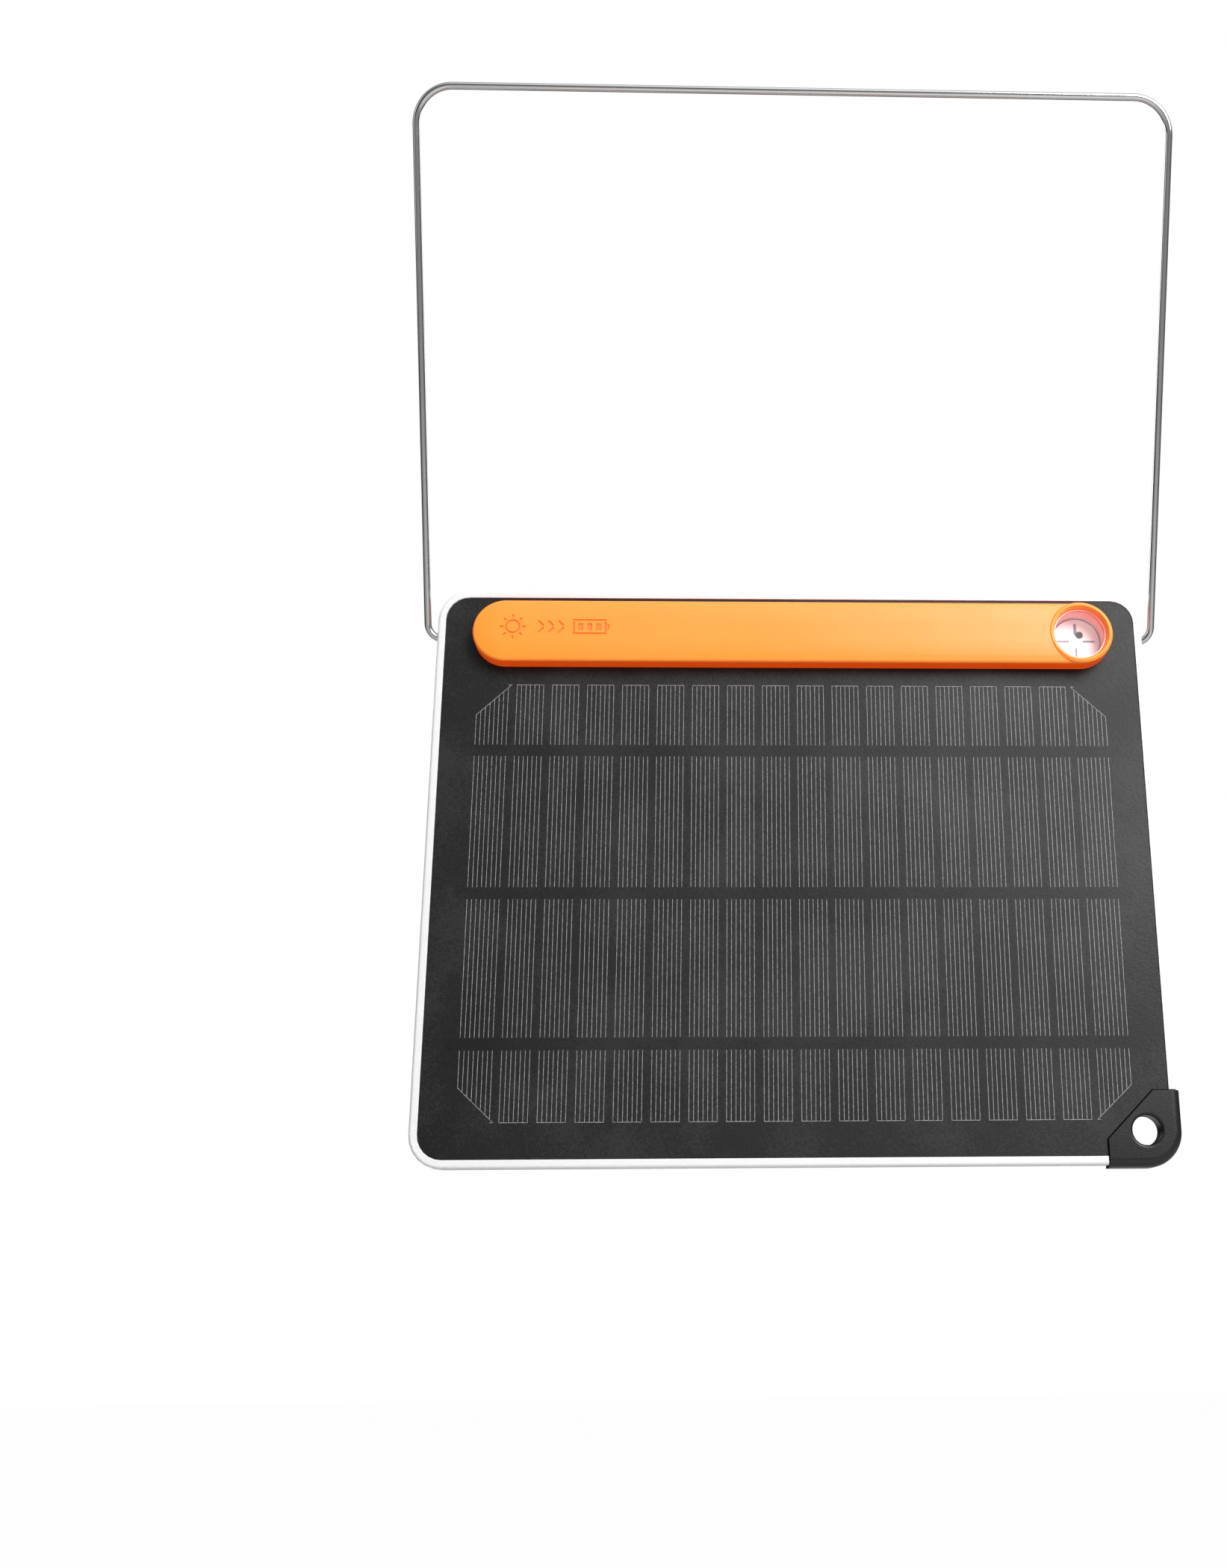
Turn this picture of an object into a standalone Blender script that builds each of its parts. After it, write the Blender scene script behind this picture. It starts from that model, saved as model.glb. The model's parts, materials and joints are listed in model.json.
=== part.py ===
"""Solar phone charger: a flat solar panel with a battery module across its top and a wire bail.

The row frame is in metres, +Z up, and the panel faces -Y. The origin is the hang point, under the
middle of the bail's bar. The panel and all it carries are children of an empty on the bail's hinge
axis, and depths in the panel count from the front of its frame towards +Y.
"""

import math

import bmesh
import bpy
from mathutils import Matrix, Vector

# Clearances
GAP = 0.0003
SLIM_GAP = 0.0002
RUNNING_GAP = 0.0001

# Solar cell strips and the tapes across them
STRIP_COUNT = 18
STRIP_PITCH = 0.012576
STRIP_SPACING = 0.0005
STRIP_HEIGHT = 0.1560
STRIP_THICKNESS = 0.00025
CELL_CHAMFER = 0.0115
TAPE_HEIGHT = 0.0039
TAPE_THICKNESS = 0.00015
TAPE_PITCH = 0.0520
TAPE_RAISE = 0.0006

# Wire bail and its bushes
WIRE_RADIUS = 0.00125
BAIL_LEAN = math.radians(25.0)
BAIL_SIDE_ROOM = 0.0024
BAIL_END_ROOM = 0.00135
BAIL_CORNER = 0.0130
PIVOT_BEND = 0.0055
PIN_LENGTH = 0.00785
BUSH_WALL = 0.00075
BUSH_LENGTH = 0.0082

# Battery
CELL_DIAMETER = 0.0183
CELL_LENGTH = 0.0650
CELL_EDGE = 0.0007
BUTTON_TOP_RADIUS = 0.0028
BUTTON_TOP_HEIGHT = 0.0010
CONTACT_SIDE = 0.0140
CONTACT_CORNER = 0.0020
CONTACT_THICKNESS = 0.0004
LEAD_RADIUS = 0.0006
PANEL_LEAD_PITCH = 0.0040
PANEL_LEAD_LEAN = 0.0022

# Panel frame and the laminate's other layers
SEAT_WALL = 0.0020
SIDE_MARGIN = 0.015516
TOP_MARGIN = 0.00625
BOTTOM_MARGIN = 0.0143
PANEL_CORNER = 0.0113
LIP_WIDTH = 0.0031
EDGE_ROUND = 0.0011
FLOOR_THICKNESS = 0.0014
FILM_DEPTH = 0.0004
FILM_THICKNESS = 0.0004
BOARD_THICKNESS = 0.0009
REAR_RIB = 0.0018
REAR_MARGIN = 0.0085
REAR_COLUMNS = 3
REAR_ROWS = 2
REAR_CORNER = 0.0030

# Battery module
CELL_SIDE_ROOM = 0.0010
CELL_DEPTH_ROOM = 0.00115
MODULE_SIDE_INSET = 0.01295
MODULE_OFFSET = 0.0006
MODULE_TO_STRIPS = 0.00635
MODULE_RISE = 0.0070
SHELL_WALL = 0.0016
FRONT_ROUND = 0.0012
REAR_ROUND = 0.0025
WINDOW_INSET = 0.0017

# Screws and bosses
BOSS_RADIUS = 0.0026
SCREW_HEAD_RADIUS = 0.0019
SCREW_HEAD_HEIGHT = 0.0015
SCREW_SHANK_RADIUS = 0.0010
SCREW_SEAT_DEPTH = 0.0045
SCREW_SLOT = 0.0005
SCREW_CROSS_REACH = 0.0012
SCREW_SLOT_DEPTH = 0.0008
SCREW_EDGE = 0.0003
BOSS_WALL_ROOM = 0.00155
BOSS_PAST_END_CENTRE = 0.0015

# Sundial
RING_RISE = 0.0006
RING_WIDTH = 0.00225
RING_ROUND = 0.0009
RING_INSET = 0.00015
LENS_THICKNESS = 0.0010
DOT_RADIUS = 0.00135
DOT_HEIGHT = 0.0004
DIAL_SINK = 0.0100
CUP_ROOM = 0.00025
DIAL_THICKNESS = 0.0008
CUP_WALL = 0.0006
TICK_INNER = 0.0025
TICK_OUTER = 0.0070
TICK_WIDTH = 0.0008
TICK_HEIGHT = 0.0002

# Room along the module
CELL_FROM_BOSS = 0.0070
CELL_LEAD_ROOM = 0.0028
CIRCUIT_FROM_BOSS = 0.0005

# Circuit board and its sockets, placed from the board's left end
CIRCUIT_LENGTH = 0.0720
CIRCUIT_SIDE_ROOM = 0.00065
CIRCUIT_THICKNESS = 0.0010
CIRCUIT_LIFT = 0.0005
USB_A_PLACE = 0.0190
USB_A_WIDTH = 0.0131
USB_A_THICKNESS = 0.0057
USB_A_LENGTH = 0.0140
USB_A_WALL = 0.0003
USB_A_SOCKET_DEPTH = 0.0110
USB_A_TONGUE = (0.0111, 0.00184, 0.0092)
MICRO_PLACE = 0.0390
MICRO_WIDTH = 0.0076
MICRO_THICKNESS = 0.0029
MICRO_LENGTH = 0.0056
MICRO_WALL = 0.00028
MICRO_SOCKET_DEPTH = 0.0044
MICRO_TONGUE = (0.0038, 0.0007, 0.0034)
MOUTH_INSET = 0.0004

# Button, lamps and port cover
BUTTON_PLACE = 0.0390
BUTTON_RAISE = 0.0025
BUTTON_RADIUS = 0.0042
BUTTON_STEM_RADIUS = 0.0014
BUTTON_FLANGE = 0.0009
BUTTON_FLANGE_THICKNESS = 0.0008
BUTTON_PROUD = 0.0008
BUTTON_EDGE = 0.0004
BUTTON_TRAVEL = 0.0005
SWITCH_SIDE = 0.0060
SWITCH_BASE = 0.0034
SWITCH_PLUNGER = 0.0012
SWITCH_PLUNGER_RADIUS = 0.0017
LED_COUNT = 4
LED_PLACE = 0.0510
LED_PITCH = 0.0045
LED_SIZE = (0.0016, 0.0007, 0.0008)
GUIDE_PIP_RADIUS = 0.0009
GUIDE_BAR = 0.0020
COVER_MARGIN = 0.0022
COVER_EDGE = 0.0009
COVER_THICKNESS = 0.0014
COVER_CORNER = 0.0012
COVER_BARREL = 0.0011
COVER_PIN_RADIUS = 0.0006
COVER_LUG = 0.0016
COVER_LUG_WALL = 0.0004
COVER_AXIS_INSET = 0.0014

# Lash corner
LASH_SIDE = 0.0245
LASH_STUB = 0.0085
LASH_WRAP = 0.0009
LASH_PROUD = 0.0010
LASH_HOLE_RADIUS = 0.0049
LASH_HOLE_CHAMFER = 0.0012
LASH_EDGE = 0.0005
TONGUE_LENGTH = 0.0140
TONGUE_REACH = 0.0040
TONGUE_THICKNESS = 0.0010
TONGUE_COVER = 0.0030
TONGUE_ROOT = 0.0020

# Worked out from the sizes above
BUSH_RADIUS = WIRE_RADIUS + RUNNING_GAP + BUSH_WALL
PANEL_THICKNESS = 2 * (FILM_DEPTH + FILM_THICKNESS + GAP + BUSH_RADIUS)
MODULE_HEIGHT = CELL_DIAMETER + 2 * CELL_SIDE_ROOM + 2 * SHELL_WALL
STRIPS_BELOW_HINGE = MODULE_HEIGHT / 2 + MODULE_TO_STRIPS + STRIP_HEIGHT / 2
HINGE_BELOW_TOP = MODULE_HEIGHT / 2 + TOP_MARGIN
PANEL_WIDTH = STRIP_COUNT * STRIP_PITCH + 2 * SIDE_MARGIN
PANEL_HEIGHT = HINGE_BELOW_TOP + STRIPS_BELOW_HINGE + STRIP_HEIGHT / 2 + BOTTOM_MARGIN
PANEL_FRONT = -PANEL_THICKNESS / 2
PANEL_MIDDLE_Z = HINGE_BELOW_TOP - PANEL_HEIGHT / 2
LEG_X = PANEL_WIDTH / 2 + BAIL_SIDE_ROOM + WIRE_RADIUS
BAIL_LENGTH = PANEL_HEIGHT - HINGE_BELOW_TOP + LASH_WRAP + BAIL_END_ROOM + WIRE_RADIUS
BEND_END_X = LEG_X - PIVOT_BEND
PIN_END_X = BEND_END_X - PIN_LENGTH
BUSH_END_X = BEND_END_X - SLIM_GAP
SEAT_START_X = BUSH_END_X - BUSH_LENGTH - GAP
TAPE_DEPTH = FILM_DEPTH + FILM_THICKNESS + GAP
STRIP_DEPTH = TAPE_DEPTH + TAPE_THICKNESS + GAP
BOARD_DEPTH = STRIP_DEPTH + STRIP_THICKNESS + GAP
FLOOR_DEPTH = BOARD_DEPTH + BOARD_THICKNESS + GAP
POCKET_WIDTH = PANEL_WIDTH - 2 * LIP_WIDTH + 2 * SLIM_GAP
POCKET_HEIGHT = PANEL_HEIGHT - 2 * LIP_WIDTH + 2 * SLIM_GAP
POCKET_CORNER = PANEL_CORNER - LIP_WIDTH + SLIM_GAP
MODULE_LENGTH = PANEL_WIDTH - 2 * MODULE_SIDE_INSET
MODULE_FRONT = FILM_DEPTH - MODULE_RISE
WINDOW_LENGTH = MODULE_LENGTH - 2 * WINDOW_INSET
WINDOW_HEIGHT = MODULE_HEIGHT - 2 * WINDOW_INSET
CIRCUIT_DEPTH = PANEL_THICKNESS + CIRCUIT_LIFT
PART_DEPTH = CIRCUIT_DEPTH + CIRCUIT_THICKNESS + GAP
SWITCH_ROOM = SWITCH_BASE + SWITCH_PLUNGER + BUTTON_TRAVEL + BUTTON_FLANGE_THICKNESS + 2 * GAP
CAVITY_FRONT = MODULE_FRONT + SHELL_WALL
CAVITY_BACK = max(
    CAVITY_FRONT + CELL_DIAMETER + 2 * CELL_DEPTH_ROOM,
    PART_DEPTH + USB_A_THICKNESS + GAP,
    PART_DEPTH + SWITCH_ROOM,
)
MODULE_BACK = CAVITY_BACK + SHELL_WALL
CAVITY_LENGTH = MODULE_LENGTH - 2 * SHELL_WALL
CAVITY_HEIGHT = MODULE_HEIGHT - 2 * SHELL_WALL
CIRCUIT_HEIGHT = CAVITY_HEIGHT - 2 * CIRCUIT_SIDE_ROOM
SUNDIAL_X = MODULE_LENGTH / 2 - MODULE_HEIGHT / 2
OPENING_RADIUS = MODULE_HEIGHT / 2 - RING_WIDTH
RING_FRONT = MODULE_FRONT - RING_RISE
LENS_DEPTH = CAVITY_FRONT + GAP
LENS_RADIUS = CAVITY_HEIGHT / 2 - GAP - SLIM_GAP
DIAL_DEPTH = RING_FRONT + DIAL_SINK
CUP_RADIUS = CAVITY_HEIGHT / 2 - CUP_ROOM
DIAL_RADIUS = CUP_RADIUS - CUP_WALL - 2 * GAP
CUP_BACK = DIAL_DEPTH + DIAL_THICKNESS + GAP + CUP_WALL
CELL_DEPTH = (CAVITY_FRONT + CAVITY_BACK) / 2
LEFT_BOSSES_X = -SUNDIAL_X - BOSS_PAST_END_CENTRE
RIGHT_BOSSES_X = SUNDIAL_X - CAVITY_HEIGHT / 2 - BOSS_RADIUS
BOSS_ROW = CAVITY_HEIGHT / 2 - BOSS_RADIUS - BOSS_WALL_ROOM
CELL_START = LEFT_BOSSES_X + CELL_FROM_BOSS
CELL_END = CELL_START + CELL_LENGTH
CIRCUIT_START = RIGHT_BOSSES_X - BOSS_RADIUS - CIRCUIT_FROM_BOSS - CIRCUIT_LENGTH
BOSS_MIDDLE = (CELL_END + CELL_LEAD_ROOM + CIRCUIT_START) / 2
USB_A_CENTRE = CIRCUIT_START + USB_A_PLACE
MICRO_CENTRE = CIRCUIT_START + MICRO_PLACE
BUTTON_CENTRE = CIRCUIT_START + BUTTON_PLACE
LED_FIRST = CIRCUIT_START + LED_PLACE
PORT_DEPTH = PART_DEPTH + USB_A_THICKNESS / 2
PORT_MOUTH_Z = -MODULE_HEIGHT / 2 + MOUTH_INSET
COVER_START = USB_A_CENTRE - USB_A_WIDTH / 2 - COVER_MARGIN
COVER_END = MICRO_CENTRE + MICRO_WIDTH / 2 + COVER_MARGIN
COVER_FRONT = PORT_DEPTH - USB_A_THICKNESS / 2 - COVER_EDGE
COVER_AXIS_DEPTH = MODULE_BACK - COVER_AXIS_INSET
COVER_AXIS_Z = -MODULE_HEIGHT / 2 - SLIM_GAP - COVER_BARREL
LASH_CENTRE_X = PANEL_WIDTH / 2 - PANEL_CORNER
LASH_CENTRE_Z = HINGE_BELOW_TOP - PANEL_HEIGHT + PANEL_CORNER
BOSS_SPOTS = (
    (LEFT_BOSSES_X, BOSS_ROW),
    (LEFT_BOSSES_X, -BOSS_ROW),
    (BOSS_MIDDLE, 0.0),
    (RIGHT_BOSSES_X, BOSS_ROW),
    (RIGHT_BOSSES_X, -BOSS_ROW),
)


def clear_scene():
    """Remove whatever the scene holds."""
    for item in list(bpy.data.objects):
        bpy.data.objects.remove(item, do_unlink=True)


def make_material(name, colour, roughness, metallic=0.0, alpha=1.0):
    """A Principled material of one plain colour."""
    material = bpy.data.materials.new(name)
    material.use_nodes = True
    shader = material.node_tree.nodes["Principled BSDF"]
    shader.inputs["Base Color"].default_value = (*colour, 1.0)
    shader.inputs["Roughness"].default_value = roughness
    shader.inputs["Metallic"].default_value = metallic
    shader.inputs["Alpha"].default_value = alpha
    return material


def make_empty(name, location, parent=None):
    """An empty that carries the pieces of one moving body."""
    empty = bpy.data.objects.new(name, None)
    bpy.context.scene.collection.objects.link(empty)
    empty.location = location
    empty.parent = parent
    return empty


def make_object(name, mesh_builder, material, location, parent):
    """One named piece from a bmesh, placed under its parent."""
    mesh = bpy.data.meshes.new(name)
    bmesh.ops.recalc_face_normals(mesh_builder, faces=mesh_builder.faces[:])
    mesh_builder.to_mesh(mesh)
    mesh_builder.free()
    mesh.shade_smooth()
    mesh.set_sharp_from_angle(angle=math.radians(35))
    if material:
        mesh.materials.append(material)
    piece = bpy.data.objects.new(name, mesh)
    bpy.context.scene.collection.objects.link(piece)
    piece.location = location
    piece.parent = parent
    return piece


def shape_with(target, name, mesh_builder, operation="DIFFERENCE", solver="EXACT"):
    """Cut a hidden solid, given in the target's own coordinates, from it, or join it on."""
    tool = make_object(name, mesh_builder, None, target.location, target.parent)
    tool.hide_render = True
    tool.display_type = "WIRE"
    modifier = target.modifiers.new(name, "BOOLEAN")
    modifier.operation = operation
    modifier.solver = solver
    modifier.object = tool


def rounded_outline(width, height, radius, steps=6):
    """Points (x, z) of a rectangle with round corners, centred on the origin."""
    points = []
    corners = ((1, 1, 0), (-1, 1, 90), (-1, -1, 180), (1, -1, 270))
    for side_x, side_z, start in corners:
        centre_x = side_x * (width / 2 - radius)
        centre_z = side_z * (height / 2 - radius)
        for step in range(steps + 1):
            angle = math.radians(start + 90 * step / steps)
            point = (centre_x + radius * math.cos(angle), centre_z + radius * math.sin(angle))
            if not points or math.dist(point, points[-1]) > 1e-6:
                points.append(point)
    if math.dist(points[0], points[-1]) < 1e-6:
        points.pop()
    return points


def stadium(length, height, steps=10):
    """A bar outline with half-round ends."""
    return rounded_outline(length, height, height / 2, steps=steps)


def add_prism(builder, outline, front, back, round_front=0.0, round_back=0.0, steps=3):
    """Extrude an (x, z) outline from one depth to another, with its end edges rounded."""
    corners = [builder.verts.new((x, front, z)) for x, z in outline]
    face = builder.faces.new(corners)
    grown = bmesh.ops.extrude_face_region(builder, geom=[face])
    moved = [item for item in grown["geom"] if isinstance(item, bmesh.types.BMVert)]
    bmesh.ops.translate(builder, verts=moved, vec=(0.0, back - front, 0.0))
    for ring, width in ((corners, round_front), (moved, round_back)):
        if width <= 0.0:
            continue
        members = set(ring)
        edges = [e for e in builder.edges if e.verts[0] in members and e.verts[1] in members]
        bmesh.ops.bevel(
            builder,
            geom=edges,
            offset=width,
            segments=steps,
            profile=0.5,
            affect="EDGES",
            material=-1,
        )


def prism(outline, front, back, **rounding):
    """A new bmesh with one prism."""
    builder = bmesh.new()
    add_prism(builder, outline, front, back, **rounding)
    return builder


def add_box(builder, low, high):
    """Add a box between two corners."""
    size = Vector(high) - Vector(low)
    middle = (Vector(high) + Vector(low)) / 2
    matrix = Matrix.Translation(middle) @ Matrix.Diagonal((*size, 1.0))
    bmesh.ops.create_cube(builder, size=1.0, matrix=matrix)


def add_round(builder, centre, radius, length, axis="Y", segments=24, end_radius=None):
    """Add a cylinder or cone along an axis, from its start point onwards."""
    turns = {
        "X": Matrix.Rotation(math.radians(90), 4, "Y"),
        "Y": Matrix.Rotation(math.radians(-90), 4, "X"),
        "Z": Matrix.Identity(4),
    }
    along = {"X": Vector((1, 0, 0)), "Y": Vector((0, 1, 0)), "Z": Vector((0, 0, 1))}[axis]
    matrix = Matrix.Translation(Vector(centre) + along * length / 2) @ turns[axis]
    bmesh.ops.create_cone(
        builder,
        cap_ends=True,
        segments=segments,
        radius1=radius,
        radius2=radius if end_radius is None else end_radius,
        depth=length,
        matrix=matrix,
    )


def turned(profile, steps=32):
    """A new bmesh: a closed (radius, depth) profile spun about the Y axis."""
    builder = bmesh.new()
    ring = [builder.verts.new((radius, depth, 0.0)) for radius, depth in profile]
    pairs = zip(ring, ring[1:] + ring[:1])
    edges = [builder.edges.new(pair) for pair in pairs if pair[0].co.x + pair[1].co.x > 0.0]
    bmesh.ops.spin(
        builder,
        geom=ring + edges,
        cent=(0.0, 0.0, 0.0),
        axis=(0.0, 1.0, 0.0),
        angle=math.tau,
        steps=steps,
        use_merge=True,
    )
    bmesh.ops.remove_doubles(builder, verts=builder.verts[:], dist=1e-7)
    bmesh.ops.recalc_face_normals(builder, faces=builder.faces[:])
    return builder


def merge_into(builder, other, shift=(0.0, 0.0, 0.0)):
    """Add another bmesh's shape to this one, moved by a shift."""
    bmesh.ops.translate(other, verts=other.verts[:], vec=shift)
    mesh = bpy.data.meshes.new("joined_shape")
    other.to_mesh(mesh)
    other.free()
    builder.from_mesh(mesh)
    bpy.data.meshes.remove(mesh)


def add_tube(name, points, radius, material, parent, sides=2):
    """A round wire along smooth points, with closed ends."""
    curve = bpy.data.curves.new(name, "CURVE")
    curve.dimensions = "3D"
    curve.bevel_depth = radius
    curve.bevel_resolution = sides
    curve.use_fill_caps = True
    spline = curve.splines.new("POLY")
    spline.points.add(len(points) - 1)
    for point, place in zip(spline.points, points):
        point.co = (*place, 1.0)
    curve.materials.append(material)
    wire = bpy.data.objects.new(name, curve)
    bpy.context.scene.collection.objects.link(wire)
    wire.parent = parent
    return wire


def smooth_route(points, steps=5):
    """Catmull-Rom points through a short list of places."""
    padded = [points[0], *points, points[-1]]
    route = []
    for first, start, end, last in zip(padded, padded[1:], padded[2:], padded[3:]):
        a, b, c, d = (Vector(item) for item in (first, start, end, last))
        for step in range(steps):
            t = step / steps
            route.append(
                0.5
                * (
                    2 * b
                    + (c - a) * t
                    + (2 * a - 5 * b + 4 * c - d) * t**2
                    + (3 * b - a - 3 * c + d) * t**3
                )
            )
    route.append(Vector(points[-1]))
    return route


def at_depth(depth):
    """The Y of a depth behind the frame's front, about the hinge axis."""
    return PANEL_FRONT + depth


def lash_outline(grow=0.0, reach=LASH_WRAP, steps=8):
    """The lash corner's outline about the centre of the panel's round corner."""
    outer = PANEL_CORNER + reach
    side = LASH_SIDE - PANEL_CORNER + grow
    stub = LASH_STUB - PANEL_CORNER + grow * math.tan(math.radians(22.5))
    points = [(outer, side), (-stub, side), (-side, stub), (-side, -outer)]
    for step in range(steps + 1):
        angle = math.radians(270 + 90 * step / steps)
        points.append((outer * math.cos(angle), outer * math.sin(angle)))
    return points


def window_and_corner(thickness):
    """The shapes cut right through the panel's layers: the module's window and the lash corner."""
    cuts = bmesh.new()
    window = stadium(WINDOW_LENGTH, WINDOW_HEIGHT, steps=8)
    moved = [(x + MODULE_OFFSET, z - PANEL_MIDDLE_Z) for x, z in window]
    add_prism(cuts, moved, -GAP, thickness + GAP)
    corner = lash_outline(grow=GAP, reach=PANEL_CORNER)
    moved = [(x + LASH_CENTRE_X, z + LASH_CENTRE_Z - PANEL_MIDDLE_Z) for x, z in corner]
    add_prism(cuts, moved, -GAP, thickness + GAP)
    return cuts


def build_tray(panel, material):
    """The milky frame: rim, floor, rear ribs, hinge seats and the module's window."""
    tray = make_object(
        "rear_tray",
        prism(
            rounded_outline(PANEL_WIDTH, PANEL_HEIGHT, PANEL_CORNER),
            0.0,
            PANEL_THICKNESS,
            round_front=EDGE_ROUND,
            round_back=EDGE_ROUND,
        ),
        material,
        (0.0, PANEL_FRONT, PANEL_MIDDLE_Z),
        panel,
    )
    pocket = prism(
        rounded_outline(POCKET_WIDTH, POCKET_HEIGHT, POCKET_CORNER), -GAP, FLOOR_DEPTH
    )
    shape_with(tray, "tray_pocket_cut", pocket)

    hollows = bmesh.new()
    top = -MODULE_HEIGHT / 2 - REAR_MARGIN - PANEL_MIDDLE_Z
    bottom = REAR_MARGIN - PANEL_HEIGHT / 2
    side = PANEL_WIDTH / 2 - REAR_MARGIN
    width = (2 * side - (REAR_COLUMNS - 1) * REAR_RIB) / REAR_COLUMNS
    height = (top - bottom - (REAR_ROWS - 1) * REAR_RIB) / REAR_ROWS
    for column in range(REAR_COLUMNS):
        for row in range(REAR_ROWS):
            x = -side + width / 2 + column * (width + REAR_RIB)
            z = bottom + height / 2 + row * (height + REAR_RIB)
            shape = rounded_outline(width, height, REAR_CORNER, steps=3)
            moved = [(x + point_x, z + point_z) for point_x, point_z in shape]
            add_prism(hollows, moved, FLOOR_DEPTH + FLOOR_THICKNESS, PANEL_THICKNESS + GAP)
    shape_with(tray, "tray_hollow_cut", hollows)

    pads = bmesh.new()
    pad_shape = [
        (x + LASH_CENTRE_X, z + LASH_CENTRE_Z - PANEL_MIDDLE_Z)
        for x, z in lash_outline(grow=TONGUE_REACH + TONGUE_COVER, reach=-LIP_WIDTH)
    ]
    add_prism(pads, pad_shape, FLOOR_DEPTH + FLOOR_THICKNESS / 2, PANEL_THICKNESS)
    seat_inner = SEAT_START_X - SEAT_WALL
    for side_sign in (-1, 1):
        ends = sorted((side_sign * seat_inner, side_sign * (PANEL_WIDTH / 2 - LIP_WIDTH / 2)))
        low = (ends[0], TAPE_DEPTH, -BUSH_RADIUS - SEAT_WALL - PANEL_MIDDLE_Z)
        high = (ends[1], FLOOR_DEPTH + FLOOR_THICKNESS / 2, BUSH_RADIUS + SEAT_WALL - PANEL_MIDDLE_Z)
        add_box(pads, low, high)
    shape_with(tray, "tray_pads", pads, "UNION")

    shape_with(tray, "tray_window_cut", window_and_corner(PANEL_THICKNESS))

    bores = bmesh.new()
    hinge = (PANEL_THICKNESS / 2, -PANEL_MIDDLE_Z)
    length = PANEL_WIDTH / 2 + GAP - SEAT_START_X
    for start in (SEAT_START_X, -SEAT_START_X - length):
        add_round(bores, (start, *hinge), BUSH_RADIUS + GAP, length, axis="X", segments=28)
    shape_with(tray, "tray_bush_cut", bores)

    channels = bmesh.new()
    for side_sign in (-1, 1):
        outer = PANEL_WIDTH / 2 - LIP_WIDTH - SLIM_GAP
        ends = sorted((side_sign * SEAT_START_X, side_sign * outer))
        half = BUSH_RADIUS + GAP - RUNNING_GAP
        low = (ends[0], 0.0, -half - PANEL_MIDDLE_Z)
        high = (ends[1], PANEL_THICKNESS / 2, half - PANEL_MIDDLE_Z)
        add_box(channels, low, high)
    shape_with(tray, "tray_channel_cut", channels)

    slot = bmesh.new()
    add_tongue(slot, GAP)
    move_to_lash_corner(slot)
    shape_with(tray, "tray_tongue_cut", slot)
    return tray


def add_tongue(builder, grow):
    """The flat tongue that stands out of the lash corner's slanted face, at its middle depth."""
    slant = (LASH_STUB + LASH_SIDE - 2 * PANEL_CORNER) / 2 * math.sqrt(2)
    depth = (FLOOR_DEPTH + PANEL_THICKNESS) / 2
    low = (-TONGUE_LENGTH / 2 - grow, depth - TONGUE_THICKNESS / 2 - grow, slant - TONGUE_ROOT)
    high = (TONGUE_LENGTH / 2 + grow, depth + TONGUE_THICKNESS / 2 + grow, slant + TONGUE_REACH + grow)
    box = bmesh.new()
    add_box(box, low, high)
    bmesh.ops.rotate(
        box, verts=box.verts[:], cent=(0, 0, 0), matrix=Matrix.Rotation(math.radians(-45), 3, "Y")
    )
    merge_into(builder, box)


def move_to_lash_corner(builder):
    """Shift a shape about the round corner's centre into the panel's own coordinates."""
    shift = (LASH_CENTRE_X, 0.0, LASH_CENTRE_Z - PANEL_MIDDLE_Z)
    bmesh.ops.translate(builder, verts=builder.verts[:], vec=shift)


def laminate_sheet(name, depth, thickness, panel, material, inset=0.0):
    """A sheet that lies in the frame's pocket, open at the window and the lash corner."""
    width = PANEL_WIDTH - 2 * LIP_WIDTH - 2 * inset
    height = PANEL_HEIGHT - 2 * LIP_WIDTH - 2 * inset
    corner = PANEL_CORNER - LIP_WIDTH - inset
    sheet = make_object(
        name,
        prism(rounded_outline(width, height, corner), 0.0, thickness),
        material,
        (0.0, at_depth(depth), PANEL_MIDDLE_Z),
        panel,
    )
    shape_with(sheet, name + "_cut", window_and_corner(thickness))
    return sheet


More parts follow.
